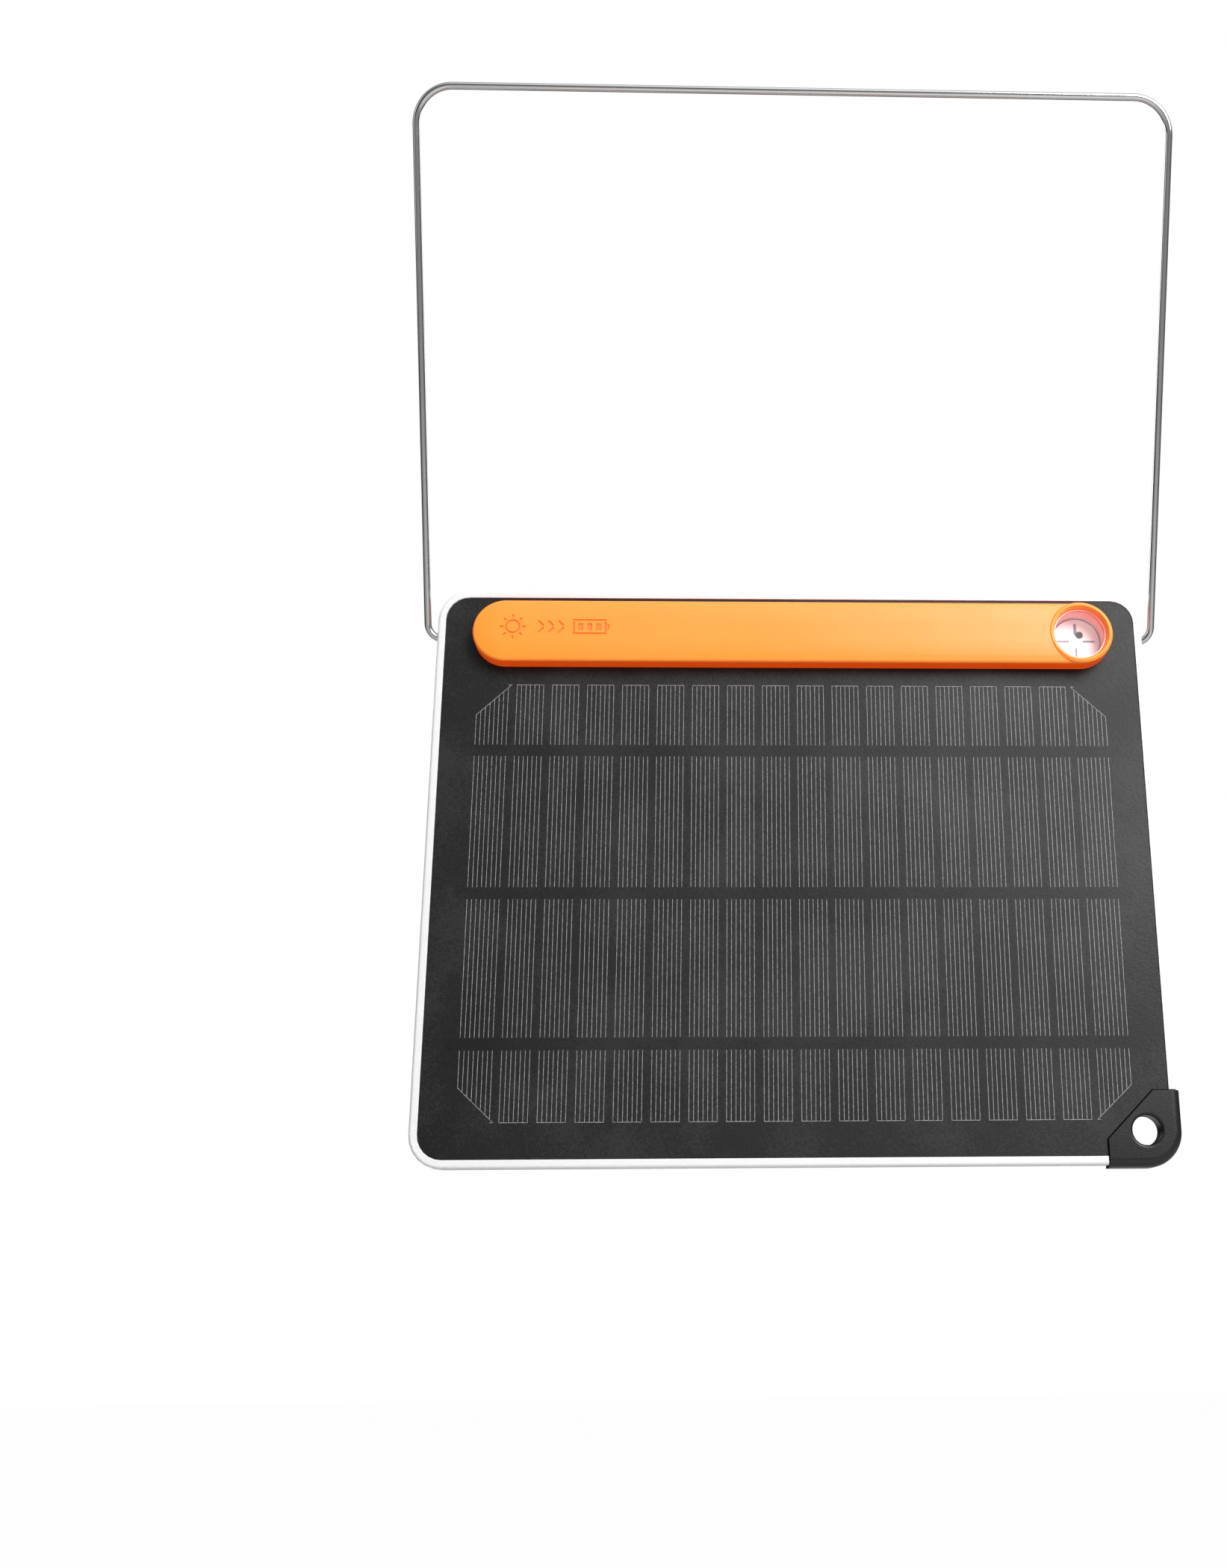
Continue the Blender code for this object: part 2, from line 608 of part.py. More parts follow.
def build_laminate(panel, materials):
    """Front film, backing board, solar cell strips and the dark tapes across them."""
    laminate_sheet("front_film", FILM_DEPTH, FILM_THICKNESS, panel, materials["film"])
    board = laminate_sheet(
        "backing_board", BOARD_DEPTH, BOARD_THICKNESS, panel, materials["board"], inset=GAP
    )
    notches = bmesh.new()
    for side_sign in (-1, 1):
        inner = SEAT_START_X - SEAT_WALL - GAP
        ends = sorted((side_sign * inner, side_sign * PANEL_WIDTH / 2))
        half = BUSH_RADIUS + SEAT_WALL + GAP
        low = (ends[0], -GAP, -half - PANEL_MIDDLE_Z)
        high = (ends[1], BOARD_THICKNESS + GAP, half - PANEL_MIDDLE_Z)
        add_box(notches, low, high)
    shape_with(board, "backing_board_notches", notches)

    half_height = STRIP_HEIGHT / 2
    half_width = (STRIP_PITCH - STRIP_SPACING) / 2
    for index in range(STRIP_COUNT):
        left_cut = CELL_CHAMFER if index == 0 else 0.0
        right_cut = CELL_CHAMFER if index == STRIP_COUNT - 1 else 0.0
        outline = []
        for side_x, side_z, cut in (
            (1, 1, right_cut),
            (-1, 1, left_cut),
            (-1, -1, left_cut),
            (1, -1, right_cut),
        ):
            along = (side_x * (half_width - cut), side_z * half_height)
            down = (side_x * half_width, side_z * (half_height - cut))
            pair = [down, along] if side_x * side_z > 0 else [along, down]
            outline.extend(pair if cut else pair[:1])
        make_object(
            f"cell_strip_{index + 1:02d}",
            prism(outline, 0.0, STRIP_THICKNESS),
            materials["cell"],
            (
                (index - (STRIP_COUNT - 1) / 2) * STRIP_PITCH,
                at_depth(STRIP_DEPTH),
                -STRIPS_BELOW_HINGE,
            ),
            panel,
        )

    width = STRIP_COUNT * STRIP_PITCH
    for name, row in (("upper", 1), ("middle", 0), ("lower", -1)):
        tape = bmesh.new()
        add_box(
            tape,
            (-width / 2, 0.0, -TAPE_HEIGHT / 2),
            (width / 2, TAPE_THICKNESS, TAPE_HEIGHT / 2),
        )
        make_object(
            f"busbar_tape_{name}",
            tape,
            materials["tape"],
            (0.0, at_depth(TAPE_DEPTH), row * TAPE_PITCH + TAPE_RAISE - STRIPS_BELOW_HINGE),
            panel,
        )


def ring_profile():
    """Section of the sundial's raised ring, from the lens seat round its top to the shell's side."""
    outer = MODULE_HEIGHT / 2 - RING_INSET
    profile = [(OPENING_RADIUS, CAVITY_FRONT)]
    for centre, start in ((OPENING_RADIUS + RING_ROUND, 180), (outer - RING_ROUND, 270)):
        for step in range(4):
            angle = math.radians(start + 90 * step / 3)
            across = centre + RING_ROUND * math.cos(angle)
            depth = RING_FRONT + RING_ROUND + RING_ROUND * math.sin(angle)
            profile.append((across, depth))
    rooted = MODULE_FRONT + FRONT_ROUND - GAP
    inside = LENS_RADIUS + 2 * GAP
    profile += [(outer, rooted), (inside, rooted), (inside, CAVITY_FRONT)]
    return profile


def build_front_shell(module, material):
    """The front half of the module, with its screw posts and the sundial's raised ring."""
    back = FILM_DEPTH - SLIM_GAP
    shell = make_object(
        "front_shell",
        prism(stadium(MODULE_LENGTH, MODULE_HEIGHT), MODULE_FRONT, back, round_front=FRONT_ROUND, steps=4),
        material,
        (0.0, PANEL_FRONT, 0.0),
        module,
    )
    cavity = prism(stadium(CAVITY_LENGTH, CAVITY_HEIGHT), CAVITY_FRONT, back + GAP)
    shape_with(shell, "front_cavity_cut", cavity, solver="MANIFOLD")
    seat = bmesh.new()
    seat_front = RING_FRONT - GAP
    seat_length = CAVITY_FRONT + GAP - seat_front
    add_round(seat, (SUNDIAL_X, seat_front, 0.0), LENS_RADIUS + GAP, seat_length, segments=40)
    shape_with(shell, "front_lens_cut", seat, solver="MANIFOLD")
    additions = turned(ring_profile(), steps=40)
    bmesh.ops.translate(additions, verts=additions.verts[:], vec=(SUNDIAL_X, 0.0, 0.0))
    for x, z in BOSS_SPOTS:
        start = (x, CAVITY_FRONT - SHELL_WALL / 2, z)
        add_round(additions, start, BOSS_RADIUS, PANEL_THICKNESS - GAP - start[1], segments=20)
    shape_with(shell, "front_posts_and_ring", additions, "UNION", "MANIFOLD")
    cuts = bmesh.new()
    for x, z in BOSS_SPOTS:
        start = CAVITY_FRONT + SHELL_WALL
        length = PANEL_THICKNESS - start
        add_round(cuts, (x, start, z), SCREW_SHANK_RADIUS + SLIM_GAP, length, segments=12)
    shape_with(shell, "front_holes_cut", cuts, solver="MANIFOLD")
    return shell


def build_rear_shell(module, material):
    """The rear half of the module, with screw wells, ports, button and lamp holes and cover lugs."""
    front = PANEL_THICKNESS + SLIM_GAP
    shell = make_object(
        "rear_shell",
        prism(stadium(MODULE_LENGTH, MODULE_HEIGHT), front, MODULE_BACK, round_back=REAR_ROUND),
        material,
        (0.0, PANEL_FRONT, 0.0),
        module,
    )
    cavity = prism(
        stadium(CAVITY_LENGTH, CAVITY_HEIGHT),
        front - GAP,
        CAVITY_BACK,
        round_back=REAR_ROUND - SHELL_WALL,
        steps=2,
    )
    shape_with(shell, "rear_cavity_cut", cavity)
    additions = bmesh.new()
    for x, z in BOSS_SPOTS:
        length = CAVITY_BACK + SHELL_WALL / 2 - front - GAP
        add_round(additions, (x, front + GAP, z), BOSS_RADIUS, length, segments=20)
    lug_size = COVER_BARREL + COVER_LUG_WALL
    for start in (COVER_START - GAP - COVER_LUG, COVER_END + GAP):
        low = (start, COVER_AXIS_DEPTH - lug_size, COVER_AXIS_Z - lug_size)
        high = (start + COVER_LUG, COVER_AXIS_DEPTH + COVER_BARREL, -CAVITY_HEIGHT / 2 - SHELL_WALL / 2)
        add_box(additions, low, high)
    shape_with(shell, "rear_posts_and_lugs", additions, "UNION")
    cuts = bmesh.new()
    seat = MODULE_BACK - SCREW_SEAT_DEPTH
    for x, z in BOSS_SPOTS:
        shank = SCREW_SHANK_RADIUS + SLIM_GAP
        add_stepped_well(cuts, x, z, seat, front, shank, SCREW_HEAD_RADIUS + GAP)
    for centre, width, height, depth in (
        (USB_A_CENTRE, USB_A_WIDTH, USB_A_THICKNESS, PORT_DEPTH),
        (MICRO_CENTRE, MICRO_WIDTH, MICRO_THICKNESS, PART_DEPTH + MICRO_THICKNESS / 2),
    ):
        low = (centre - width / 2 - GAP, depth - height / 2 - GAP, -MODULE_HEIGHT / 2 - GAP)
        high = (centre + width / 2 + GAP, depth + height / 2 + GAP, -CAVITY_HEIGHT / 2 + GAP)
        add_box(cuts, low, high)
    hole = (BUTTON_CENTRE, CAVITY_BACK - GAP, BUTTON_RAISE)
    add_round(cuts, hole, BUTTON_RADIUS + GAP, SHELL_WALL + 2 * GAP, segments=32)
    for index in range(LED_COUNT):
        x = LED_FIRST + index * LED_PITCH
        hole = (x, CAVITY_BACK - GAP, BUTTON_RAISE)
        add_round(cuts, hole, GUIDE_PIP_RADIUS + SLIM_GAP, SHELL_WALL + 2 * GAP, segments=14)
    pin_start = (COVER_START - GAP - COVER_LUG - GAP, COVER_AXIS_DEPTH, COVER_AXIS_Z)
    pin_length = COVER_END - COVER_START + 2 * (COVER_LUG + 2 * GAP)
    add_round(cuts, pin_start, COVER_PIN_RADIUS + RUNNING_GAP, pin_length, axis="X", segments=16)
    shape_with(shell, "rear_holes_cut", cuts)
    return shell


def add_stepped_well(builder, x, z, seat, front, shank_radius, head_radius):
    """A screw's through hole and wider head well, as one turned solid."""
    profile = [
        (0.0, front - GAP),
        (shank_radius, front - GAP),
        (shank_radius, seat),
        (head_radius, seat),
        (head_radius, MODULE_BACK + GAP),
        (0.0, MODULE_BACK + GAP),
    ]
    merge_into(builder, turned(profile, steps=16), (x, 0.0, z))


def build_screws(module, material):
    """The screws that pull the two shells together, with a slot in each head."""
    seat = MODULE_BACK - SCREW_SEAT_DEPTH + GAP
    tip = CAVITY_FRONT + SHELL_WALL + GAP
    for number, (x, z) in enumerate(BOSS_SPOTS, 1):
        profile = [
            (0.0, tip),
            (SCREW_SHANK_RADIUS, tip + SCREW_SHANK_RADIUS),
            (SCREW_SHANK_RADIUS, seat),
            (SCREW_HEAD_RADIUS, seat),
            (SCREW_HEAD_RADIUS, seat + SCREW_HEAD_HEIGHT - SCREW_EDGE),
            (SCREW_HEAD_RADIUS - SCREW_EDGE, seat + SCREW_HEAD_HEIGHT),
            (0.0, seat + SCREW_HEAD_HEIGHT),
        ]
        place = (x, PANEL_FRONT, z)
        shape = turned(profile, steps=16)
        screw = make_object(f"shell_screw_{number}", shape, material, place, module)
        cross = bmesh.new()
        top = seat + SCREW_HEAD_HEIGHT
        arm = SCREW_CROSS_REACH
        half = SCREW_SLOT / 2
        outline = [
            (half, half),
            (arm, half),
            (arm, -half),
            (half, -half),
            (half, -arm),
            (-half, -arm),
            (-half, -half),
            (-arm, -half),
            (-arm, half),
            (-half, half),
            (-half, arm),
            (half, arm),
        ]
        add_prism(cross, outline, top - SCREW_SLOT_DEPTH, top + GAP)
        shape_with(screw, f"shell_screw_{number}_cross", cross)


def build_sundial(module, materials):
    """Clear lens with its shadow dot, white dial with four ticks, and the cup behind them."""
    lens = bmesh.new()
    add_round(lens, (0, 0, 0), LENS_RADIUS, LENS_THICKNESS, segments=36)
    place = (SUNDIAL_X, at_depth(LENS_DEPTH), 0.0)
    make_object("sundial_lens", lens, materials["clear"], place, module)

    dot = bmesh.new()
    add_round(dot, (0, 0, 0), DOT_RADIUS, DOT_HEIGHT, segments=20)
    place = (SUNDIAL_X, at_depth(LENS_DEPTH + LENS_THICKNESS + RUNNING_GAP), 0.0)
    make_object("sundial_dot", dot, materials["black"], place, module)

    dial = bmesh.new()
    add_round(dial, (0, 0, 0), DIAL_RADIUS, DIAL_THICKNESS, segments=36)
    face = make_object(
        "sundial_dial", dial, materials["dial"], (SUNDIAL_X, at_depth(DIAL_DEPTH), 0.0), module
    )
    ticks = bmesh.new()
    for turn in range(4):
        tick = bmesh.new()
        low = (TICK_INNER, -TICK_HEIGHT, -TICK_WIDTH / 2)
        add_box(tick, low, (TICK_OUTER, DIAL_THICKNESS / 2, TICK_WIDTH / 2))
        spin = Matrix.Rotation(math.radians(90 * turn), 3, "Y")
        bmesh.ops.rotate(tick, verts=tick.verts[:], cent=(0, 0, 0), matrix=spin)
        merge_into(ticks, tick)
    shape_with(face, "sundial_ticks", ticks, "UNION")

    start = LENS_DEPTH + LENS_THICKNESS + GAP
    inner = CUP_RADIUS - CUP_WALL
    floor = CUP_BACK - CUP_WALL
    profile = [
        (0.0, floor),
        (inner, floor),
        (inner, start),
        (CUP_RADIUS, start),
        (CUP_RADIUS, CUP_BACK),
        (0.0, CUP_BACK),
    ]
    cup = turned(profile, steps=36)
    make_object("sundial_cup", cup, materials["cup"], (SUNDIAL_X, PANEL_FRONT, 0.0), module)


def build_battery(module, materials):
    """The round cell with its contacts and leads."""
    radius = CELL_DIAMETER / 2
    can = CELL_LENGTH - BUTTON_TOP_HEIGHT
    profile = [
        (0.0, 0.0),
        (radius - CELL_EDGE, 0.0),
        (radius, CELL_EDGE),
        (radius, can - CELL_EDGE),
        (radius - CELL_EDGE, can),
        (BUTTON_TOP_RADIUS, can),
        (BUTTON_TOP_RADIUS, can + BUTTON_TOP_HEIGHT),
        (0.0, can + BUTTON_TOP_HEIGHT),
    ]
    cell = turned(profile, steps=28)
    turn = Matrix.Rotation(math.radians(-90), 3, "Z")
    bmesh.ops.rotate(cell, verts=cell.verts[:], cent=(0, 0, 0), matrix=turn)
    place = (CELL_START, at_depth(CELL_DEPTH), 0.0)
    make_object("battery_cell", cell, materials["battery"], place, module)

    plates = {
        "battery_contact_negative": CELL_START - GAP - CONTACT_THICKNESS,
        "battery_contact_positive": CELL_END + GAP,
    }
    for name, x in plates.items():
        plate = bmesh.new()
        outline = rounded_outline(CONTACT_SIDE, CONTACT_SIDE, CONTACT_CORNER, steps=2)
        add_prism(plate, outline, 0.0, CONTACT_THICKNESS)
        bmesh.ops.rotate(plate, verts=plate.verts[:], cent=(0, 0, 0), matrix=turn)
        make_object(name, plate, materials["contact"], (x, at_depth(CELL_DEPTH), 0.0), module)

    above = CAVITY_HEIGHT / 2 - LEAD_RADIUS - 2 * GAP
    behind = at_depth(CAVITY_BACK - 3 * LEAD_RADIUS)
    solder = at_depth(PART_DEPTH + LEAD_RADIUS)
    pad_x = CIRCUIT_START + 5 * LEAD_RADIUS
    middle = at_depth(CELL_DEPTH)
    left = CELL_START - 2 * GAP - CONTACT_THICKNESS - LEAD_RADIUS
    negative = [
        (left, middle, 0.0050),
        (left - LEAD_RADIUS, middle + 0.0050, 0.0075),
        (CELL_START + 0.0040, behind, above - LEAD_RADIUS),
        ((CELL_START + CELL_END) / 2, behind, above),
        (CELL_END, behind, above),
        (BOSS_MIDDLE, behind - 0.0030, above),
        (CIRCUIT_START - 0.0080, solder + 0.0020, above - 0.0005),
        (CIRCUIT_START - 0.0020, solder + 0.0010, above - 0.0010),
        (pad_x, solder, CIRCUIT_HEIGHT / 2 - 0.0020),
    ]
    right = CELL_END + 2 * GAP + CONTACT_THICKNESS + LEAD_RADIUS
    positive = [
        (right, middle, -0.0030),
        (right + 0.0010, middle + 0.0030, -0.0060),
        (right + 0.0050, middle + 0.0040, -0.0078),
        (BOSS_MIDDLE, at_depth(PART_DEPTH + 0.0030), -0.0078),
        (CIRCUIT_START - 0.0060, solder + 0.0010, -0.0080),
        (CIRCUIT_START - 0.0010, solder + 0.0005, -0.0075),
        (pad_x, solder, 0.0030 - CIRCUIT_HEIGHT / 2),
    ]
    for name, route in (("negative", negative), ("positive", positive)):
        material = materials["lead_" + name]
        add_tube(f"battery_lead_{name}", smooth_route(route), LEAD_RADIUS, material, module)


def build_circuit(module, materials):
    """The circuit board, its two sockets, switch, lamps and light guide."""
    board = bmesh.new()
    add_box(
        board,
        (0.0, 0.0, -CIRCUIT_HEIGHT / 2),
        (CIRCUIT_LENGTH, CIRCUIT_THICKNESS, CIRCUIT_HEIGHT / 2),
    )
    place = (CIRCUIT_START, at_depth(CIRCUIT_DEPTH), 0.0)
    make_object("circuit_board", board, materials["circuit"], place, module)

    add_socket(
        "usb_a",
        USB_A_CENTRE,
        PORT_DEPTH,
        (USB_A_WIDTH, USB_A_THICKNESS, USB_A_LENGTH),
        USB_A_WALL,
        USB_A_SOCKET_DEPTH,
        USB_A_TONGUE,
        SLIM_GAP,
        module,
        materials,
    )
    add_socket(
        "micro_usb",
        MICRO_CENTRE,
        PART_DEPTH + MICRO_THICKNESS / 2,
        (MICRO_WIDTH, MICRO_THICKNESS, MICRO_LENGTH),
        MICRO_WALL,
        MICRO_SOCKET_DEPTH,
        MICRO_TONGUE,
        MICRO_TONGUE[1] / 2,
        module,
        materials,
    )

    switch = bmesh.new()
    half = SWITCH_SIDE / 2
    add_box(switch, (-half, 0.0, -half), (half, SWITCH_BASE, half))
    place = (BUTTON_CENTRE, at_depth(PART_DEPTH), BUTTON_RAISE)
    base = make_object("tact_switch", switch, materials["black"], place, module)
    plunger = bmesh.new()
    start = SWITCH_BASE / 2
    length = SWITCH_BASE + SWITCH_PLUNGER - start
    add_round(plunger, (0, start, 0), SWITCH_PLUNGER_RADIUS, length, segments=16)
    shape_with(base, "tact_switch_plunger", plunger, "UNION")

    for index in range(LED_COUNT):
        lamp = bmesh.new()
        width, height, tall = LED_SIZE
        add_box(lamp, (-width / 2, 0.0, -tall / 2), (width / 2, height, tall / 2))
        x = LED_FIRST + index * LED_PITCH
        place = (x, at_depth(PART_DEPTH), BUTTON_RAISE)
        make_object(f"status_led_{index + 1}", lamp, materials["led"], place, module)

    guide = bmesh.new()
    run = (LED_COUNT - 1) * LED_PITCH
    bar_front = CAVITY_BACK - GAP - GUIDE_BAR
    add_box(
        guide,
        (-GUIDE_BAR, bar_front, -GUIDE_BAR),
        (run + GUIDE_BAR, CAVITY_BACK - GAP, GUIDE_BAR),
    )
    place = (LED_FIRST, PANEL_FRONT, BUTTON_RAISE)
    bar = make_object("light_guide", guide, materials["guide"], place, module)
    pips = bmesh.new()
    for index in range(LED_COUNT):
        start = (index * LED_PITCH, bar_front + GUIDE_BAR / 2, 0.0)
        add_round(pips, start, GUIDE_PIP_RADIUS, MODULE_BACK - start[1], segments=14)
    shape_with(bar, "light_guide_pips", pips, "UNION")


def add_socket(
    name, centre, depth, size, wall, socket_depth, tongue_size, tongue_shift, module, materials
):
    """A metal socket shell open downwards, and the contact tongue inside it."""
    width, thickness, length = size
    outer = bmesh.new()
    add_box(outer, (-width / 2, -thickness / 2, 0.0), (width / 2, thickness / 2, length))
    place = (centre, at_depth(depth), PORT_MOUTH_Z)
    shell = make_object(name + "_shell", outer, materials["steel"], place, module)
    mouth = bmesh.new()
    add_box(
        mouth,
        (wall - width / 2, wall - thickness / 2, -GAP),
        (width / 2 - wall, thickness / 2 - wall, socket_depth),
    )
    shape_with(shell, name + "_mouth_cut", mouth)
    tongue_width, tongue_thickness, tongue_length = tongue_size
    tongue = bmesh.new()
    top = socket_depth - SLIM_GAP
    add_box(
        tongue,
        (-tongue_width / 2, 0.0, top - tongue_length),
        (tongue_width / 2, tongue_thickness, top),
    )
    place = (centre, at_depth(depth) - tongue_shift, PORT_MOUTH_Z)
    make_object(name + "_tongue", tongue, materials["tongue"], place, module)


def build_button(module, material):
    """The push button in the rear face, with its own empty on its line of travel."""
    rear = at_depth(MODULE_BACK)
    carrier = make_empty("button_slide", (BUTTON_CENTRE, rear, BUTTON_RAISE), module)
    flange_back = -SHELL_WALL - GAP
    plunger_top = PART_DEPTH + SWITCH_BASE + SWITCH_PLUNGER - MODULE_BACK
    start = plunger_top + GAP + BUTTON_TRAVEL
    profile = [
        (0.0, start),
        (BUTTON_STEM_RADIUS, start),
        (BUTTON_STEM_RADIUS, flange_back - BUTTON_FLANGE_THICKNESS),
        (BUTTON_RADIUS + BUTTON_FLANGE, flange_back - BUTTON_FLANGE_THICKNESS),
        (BUTTON_RADIUS + BUTTON_FLANGE, flange_back),
        (BUTTON_RADIUS, flange_back),
        (BUTTON_RADIUS, BUTTON_PROUD - BUTTON_EDGE),
        (BUTTON_RADIUS - BUTTON_EDGE, BUTTON_PROUD),
        (0.0, BUTTON_PROUD),
    ]
    cap = turned(profile, steps=28)
    return make_object("power_button", cap, material, (0.0, 0.0, 0.0), carrier)


def build_port_cover(module, materials):
    """The rubber flap over both sockets, turning on a steel pin at its rear edge."""
    place = ((COVER_START + COVER_END) / 2, at_depth(COVER_AXIS_DEPTH), COVER_AXIS_Z)
    carrier = make_empty("cover_hinge", place, module)
    half = (COVER_END - COVER_START) / 2
    flap = bmesh.new()
    top = COVER_BARREL - RUNNING_GAP
    near = COVER_FRONT - COVER_AXIS_DEPTH
    outline = rounded_outline(2 * half, -near, COVER_CORNER, steps=3)
    builder = bmesh.new()
    add_prism(builder, outline, 0.0, COVER_THICKNESS)
    stand_up = Matrix.Rotation(math.radians(90), 3, "X")
    bmesh.ops.rotate(builder, verts=builder.verts[:], cent=(0, 0, 0), matrix=stand_up)
    bmesh.ops.translate(builder, verts=builder.verts[:], vec=(0.0, near / 2, top - COVER_THICKNESS))
    merge_into(flap, builder)
    cover = make_object("port_cover", flap, materials["rubber"], (0.0, 0.0, 0.0), carrier)
    barrel = bmesh.new()
    add_round(barrel, (-half, 0.0, 0.0), COVER_BARREL, 2 * half, axis="X", segments=20)
    shape_with(cover, "port_cover_barrel", barrel, "UNION")
    bore = bmesh.new()
    start = (-half - GAP, 0.0, 0.0)
    radius = COVER_PIN_RADIUS + RUNNING_GAP
    add_round(bore, start, radius, 2 * (half + GAP), axis="X", segments=16)
    shape_with(cover, "port_cover_bore", bore)

    pin = bmesh.new()
    reach = half + GAP + COVER_LUG
    add_round(pin, (-reach, 0, 0), COVER_PIN_RADIUS, 2 * reach, axis="X", segments=16)
    make_object("cover_hinge_pin", pin, materials["steel"], place, module)


def build_panel_leads(module, materials):
    """The two short leads from the backing board's edge to the circuit board."""
    edge = -WINDOW_HEIGHT / 2 + LEAD_RADIUS + GAP
    for index, name in enumerate(("negative", "positive")):
        x = CIRCUIT_START + (index + 1) * PANEL_LEAD_PITCH
        route = [
            (x, at_depth(BOARD_DEPTH), edge),
            (x, at_depth(FLOOR_DEPTH + FLOOR_THICKNESS), edge + SLIM_GAP),
            (x, at_depth(CIRCUIT_DEPTH - GAP), edge + PANEL_LEAD_LEAN),
        ]
        material = materials["lead_" + name]
        add_tube(f"panel_lead_{name}", smooth_route(route), LEAD_RADIUS, material, module)


def build_lash_corner(panel, material):
    """The black corner block with its lashing hole and the tongue that holds it in the frame."""
    corner = make_object(
        "lash_corner",
        prism(
            lash_outline(),
            FILM_DEPTH - LASH_PROUD,
            PANEL_THICKNESS + LASH_EDGE,
            round_front=LASH_EDGE,
            round_back=LASH_EDGE,
            steps=2,
        ),
        material,
        (LASH_CENTRE_X, PANEL_FRONT, LASH_CENTRE_Z),
        panel,
    )
    tongue = bmesh.new()
    add_tongue(tongue, 0.0)
    shape_with(corner, "lash_tongue", tongue, "UNION")
    front = FILM_DEPTH - LASH_PROUD
    back = PANEL_THICKNESS + LASH_EDGE
    wide = LASH_HOLE_RADIUS + LASH_HOLE_CHAMFER + GAP
    profile = [
        (0.0, front - GAP),
        (wide, front - GAP),
        (LASH_HOLE_RADIUS, front + LASH_HOLE_CHAMFER),
        (LASH_HOLE_RADIUS, back - LASH_HOLE_CHAMFER),
        (wide, back + GAP),
        (0.0, back + GAP),
    ]
    shape_with(corner, "lash_hole_cut", turned(profile, steps=32))


def arc(centre, radius, start, end, steps):
    """Points (x, length) along an arc, angles in degrees."""
    points = []
    for step in range(steps + 1):
        angle = math.radians(start + (end - start) * step / steps)
        points.append((centre[0] + radius * math.cos(angle), centre[1] + radius * math.sin(angle)))
    return points


def build_bail(material):
    """The bent steel wire: two pins, two legs and the bar that hangs on a nail."""
    half = [(PIN_END_X, 0.0)]
    half += arc((LEG_X - PIVOT_BEND, PIVOT_BEND), PIVOT_BEND, -90, 0, 6)
    half += arc((LEG_X - BAIL_CORNER, BAIL_LENGTH - BAIL_CORNER), BAIL_CORNER, 0, 90, 8)
    path = half + [(-x, along) for x, along in reversed(half)]
    lean = (math.sin(BAIL_LEAN), math.cos(BAIL_LEAN))
    points = [(x, -along * lean[0], along * lean[1]) for x, along in path]
    bail = add_tube("wire_bail", points, WIRE_RADIUS, material, None, sides=3)
    bail.location = hinge_place()
    return bail


def hinge_place():
    """The middle of the hinge axis, in the row frame."""
    return (
        0.0,
        BAIL_LENGTH * math.sin(BAIL_LEAN),
        WIRE_RADIUS - BAIL_LENGTH * math.cos(BAIL_LEAN),
    )


def build_bushes(panel, material):
    """The plastic bushes that the bail's pins turn in."""
    for name, start in (("left", -BUSH_END_X), ("right", BUSH_END_X - BUSH_LENGTH)):
        bush = bmesh.new()
        add_round(bush, (0, 0, 0), BUSH_RADIUS, BUSH_LENGTH, axis="X", segments=24)
        place = (start, 0.0, 0.0)
        piece = make_object(f"hinge_bush_{name}", bush, material, place, panel)
        bore = bmesh.new()
        radius = WIRE_RADIUS + RUNNING_GAP
        add_round(bore, (-GAP, 0, 0), radius, BUSH_LENGTH + 2 * GAP, axis="X", segments=24)
        shape_with(piece, f"hinge_bush_{name}_bore", bore)


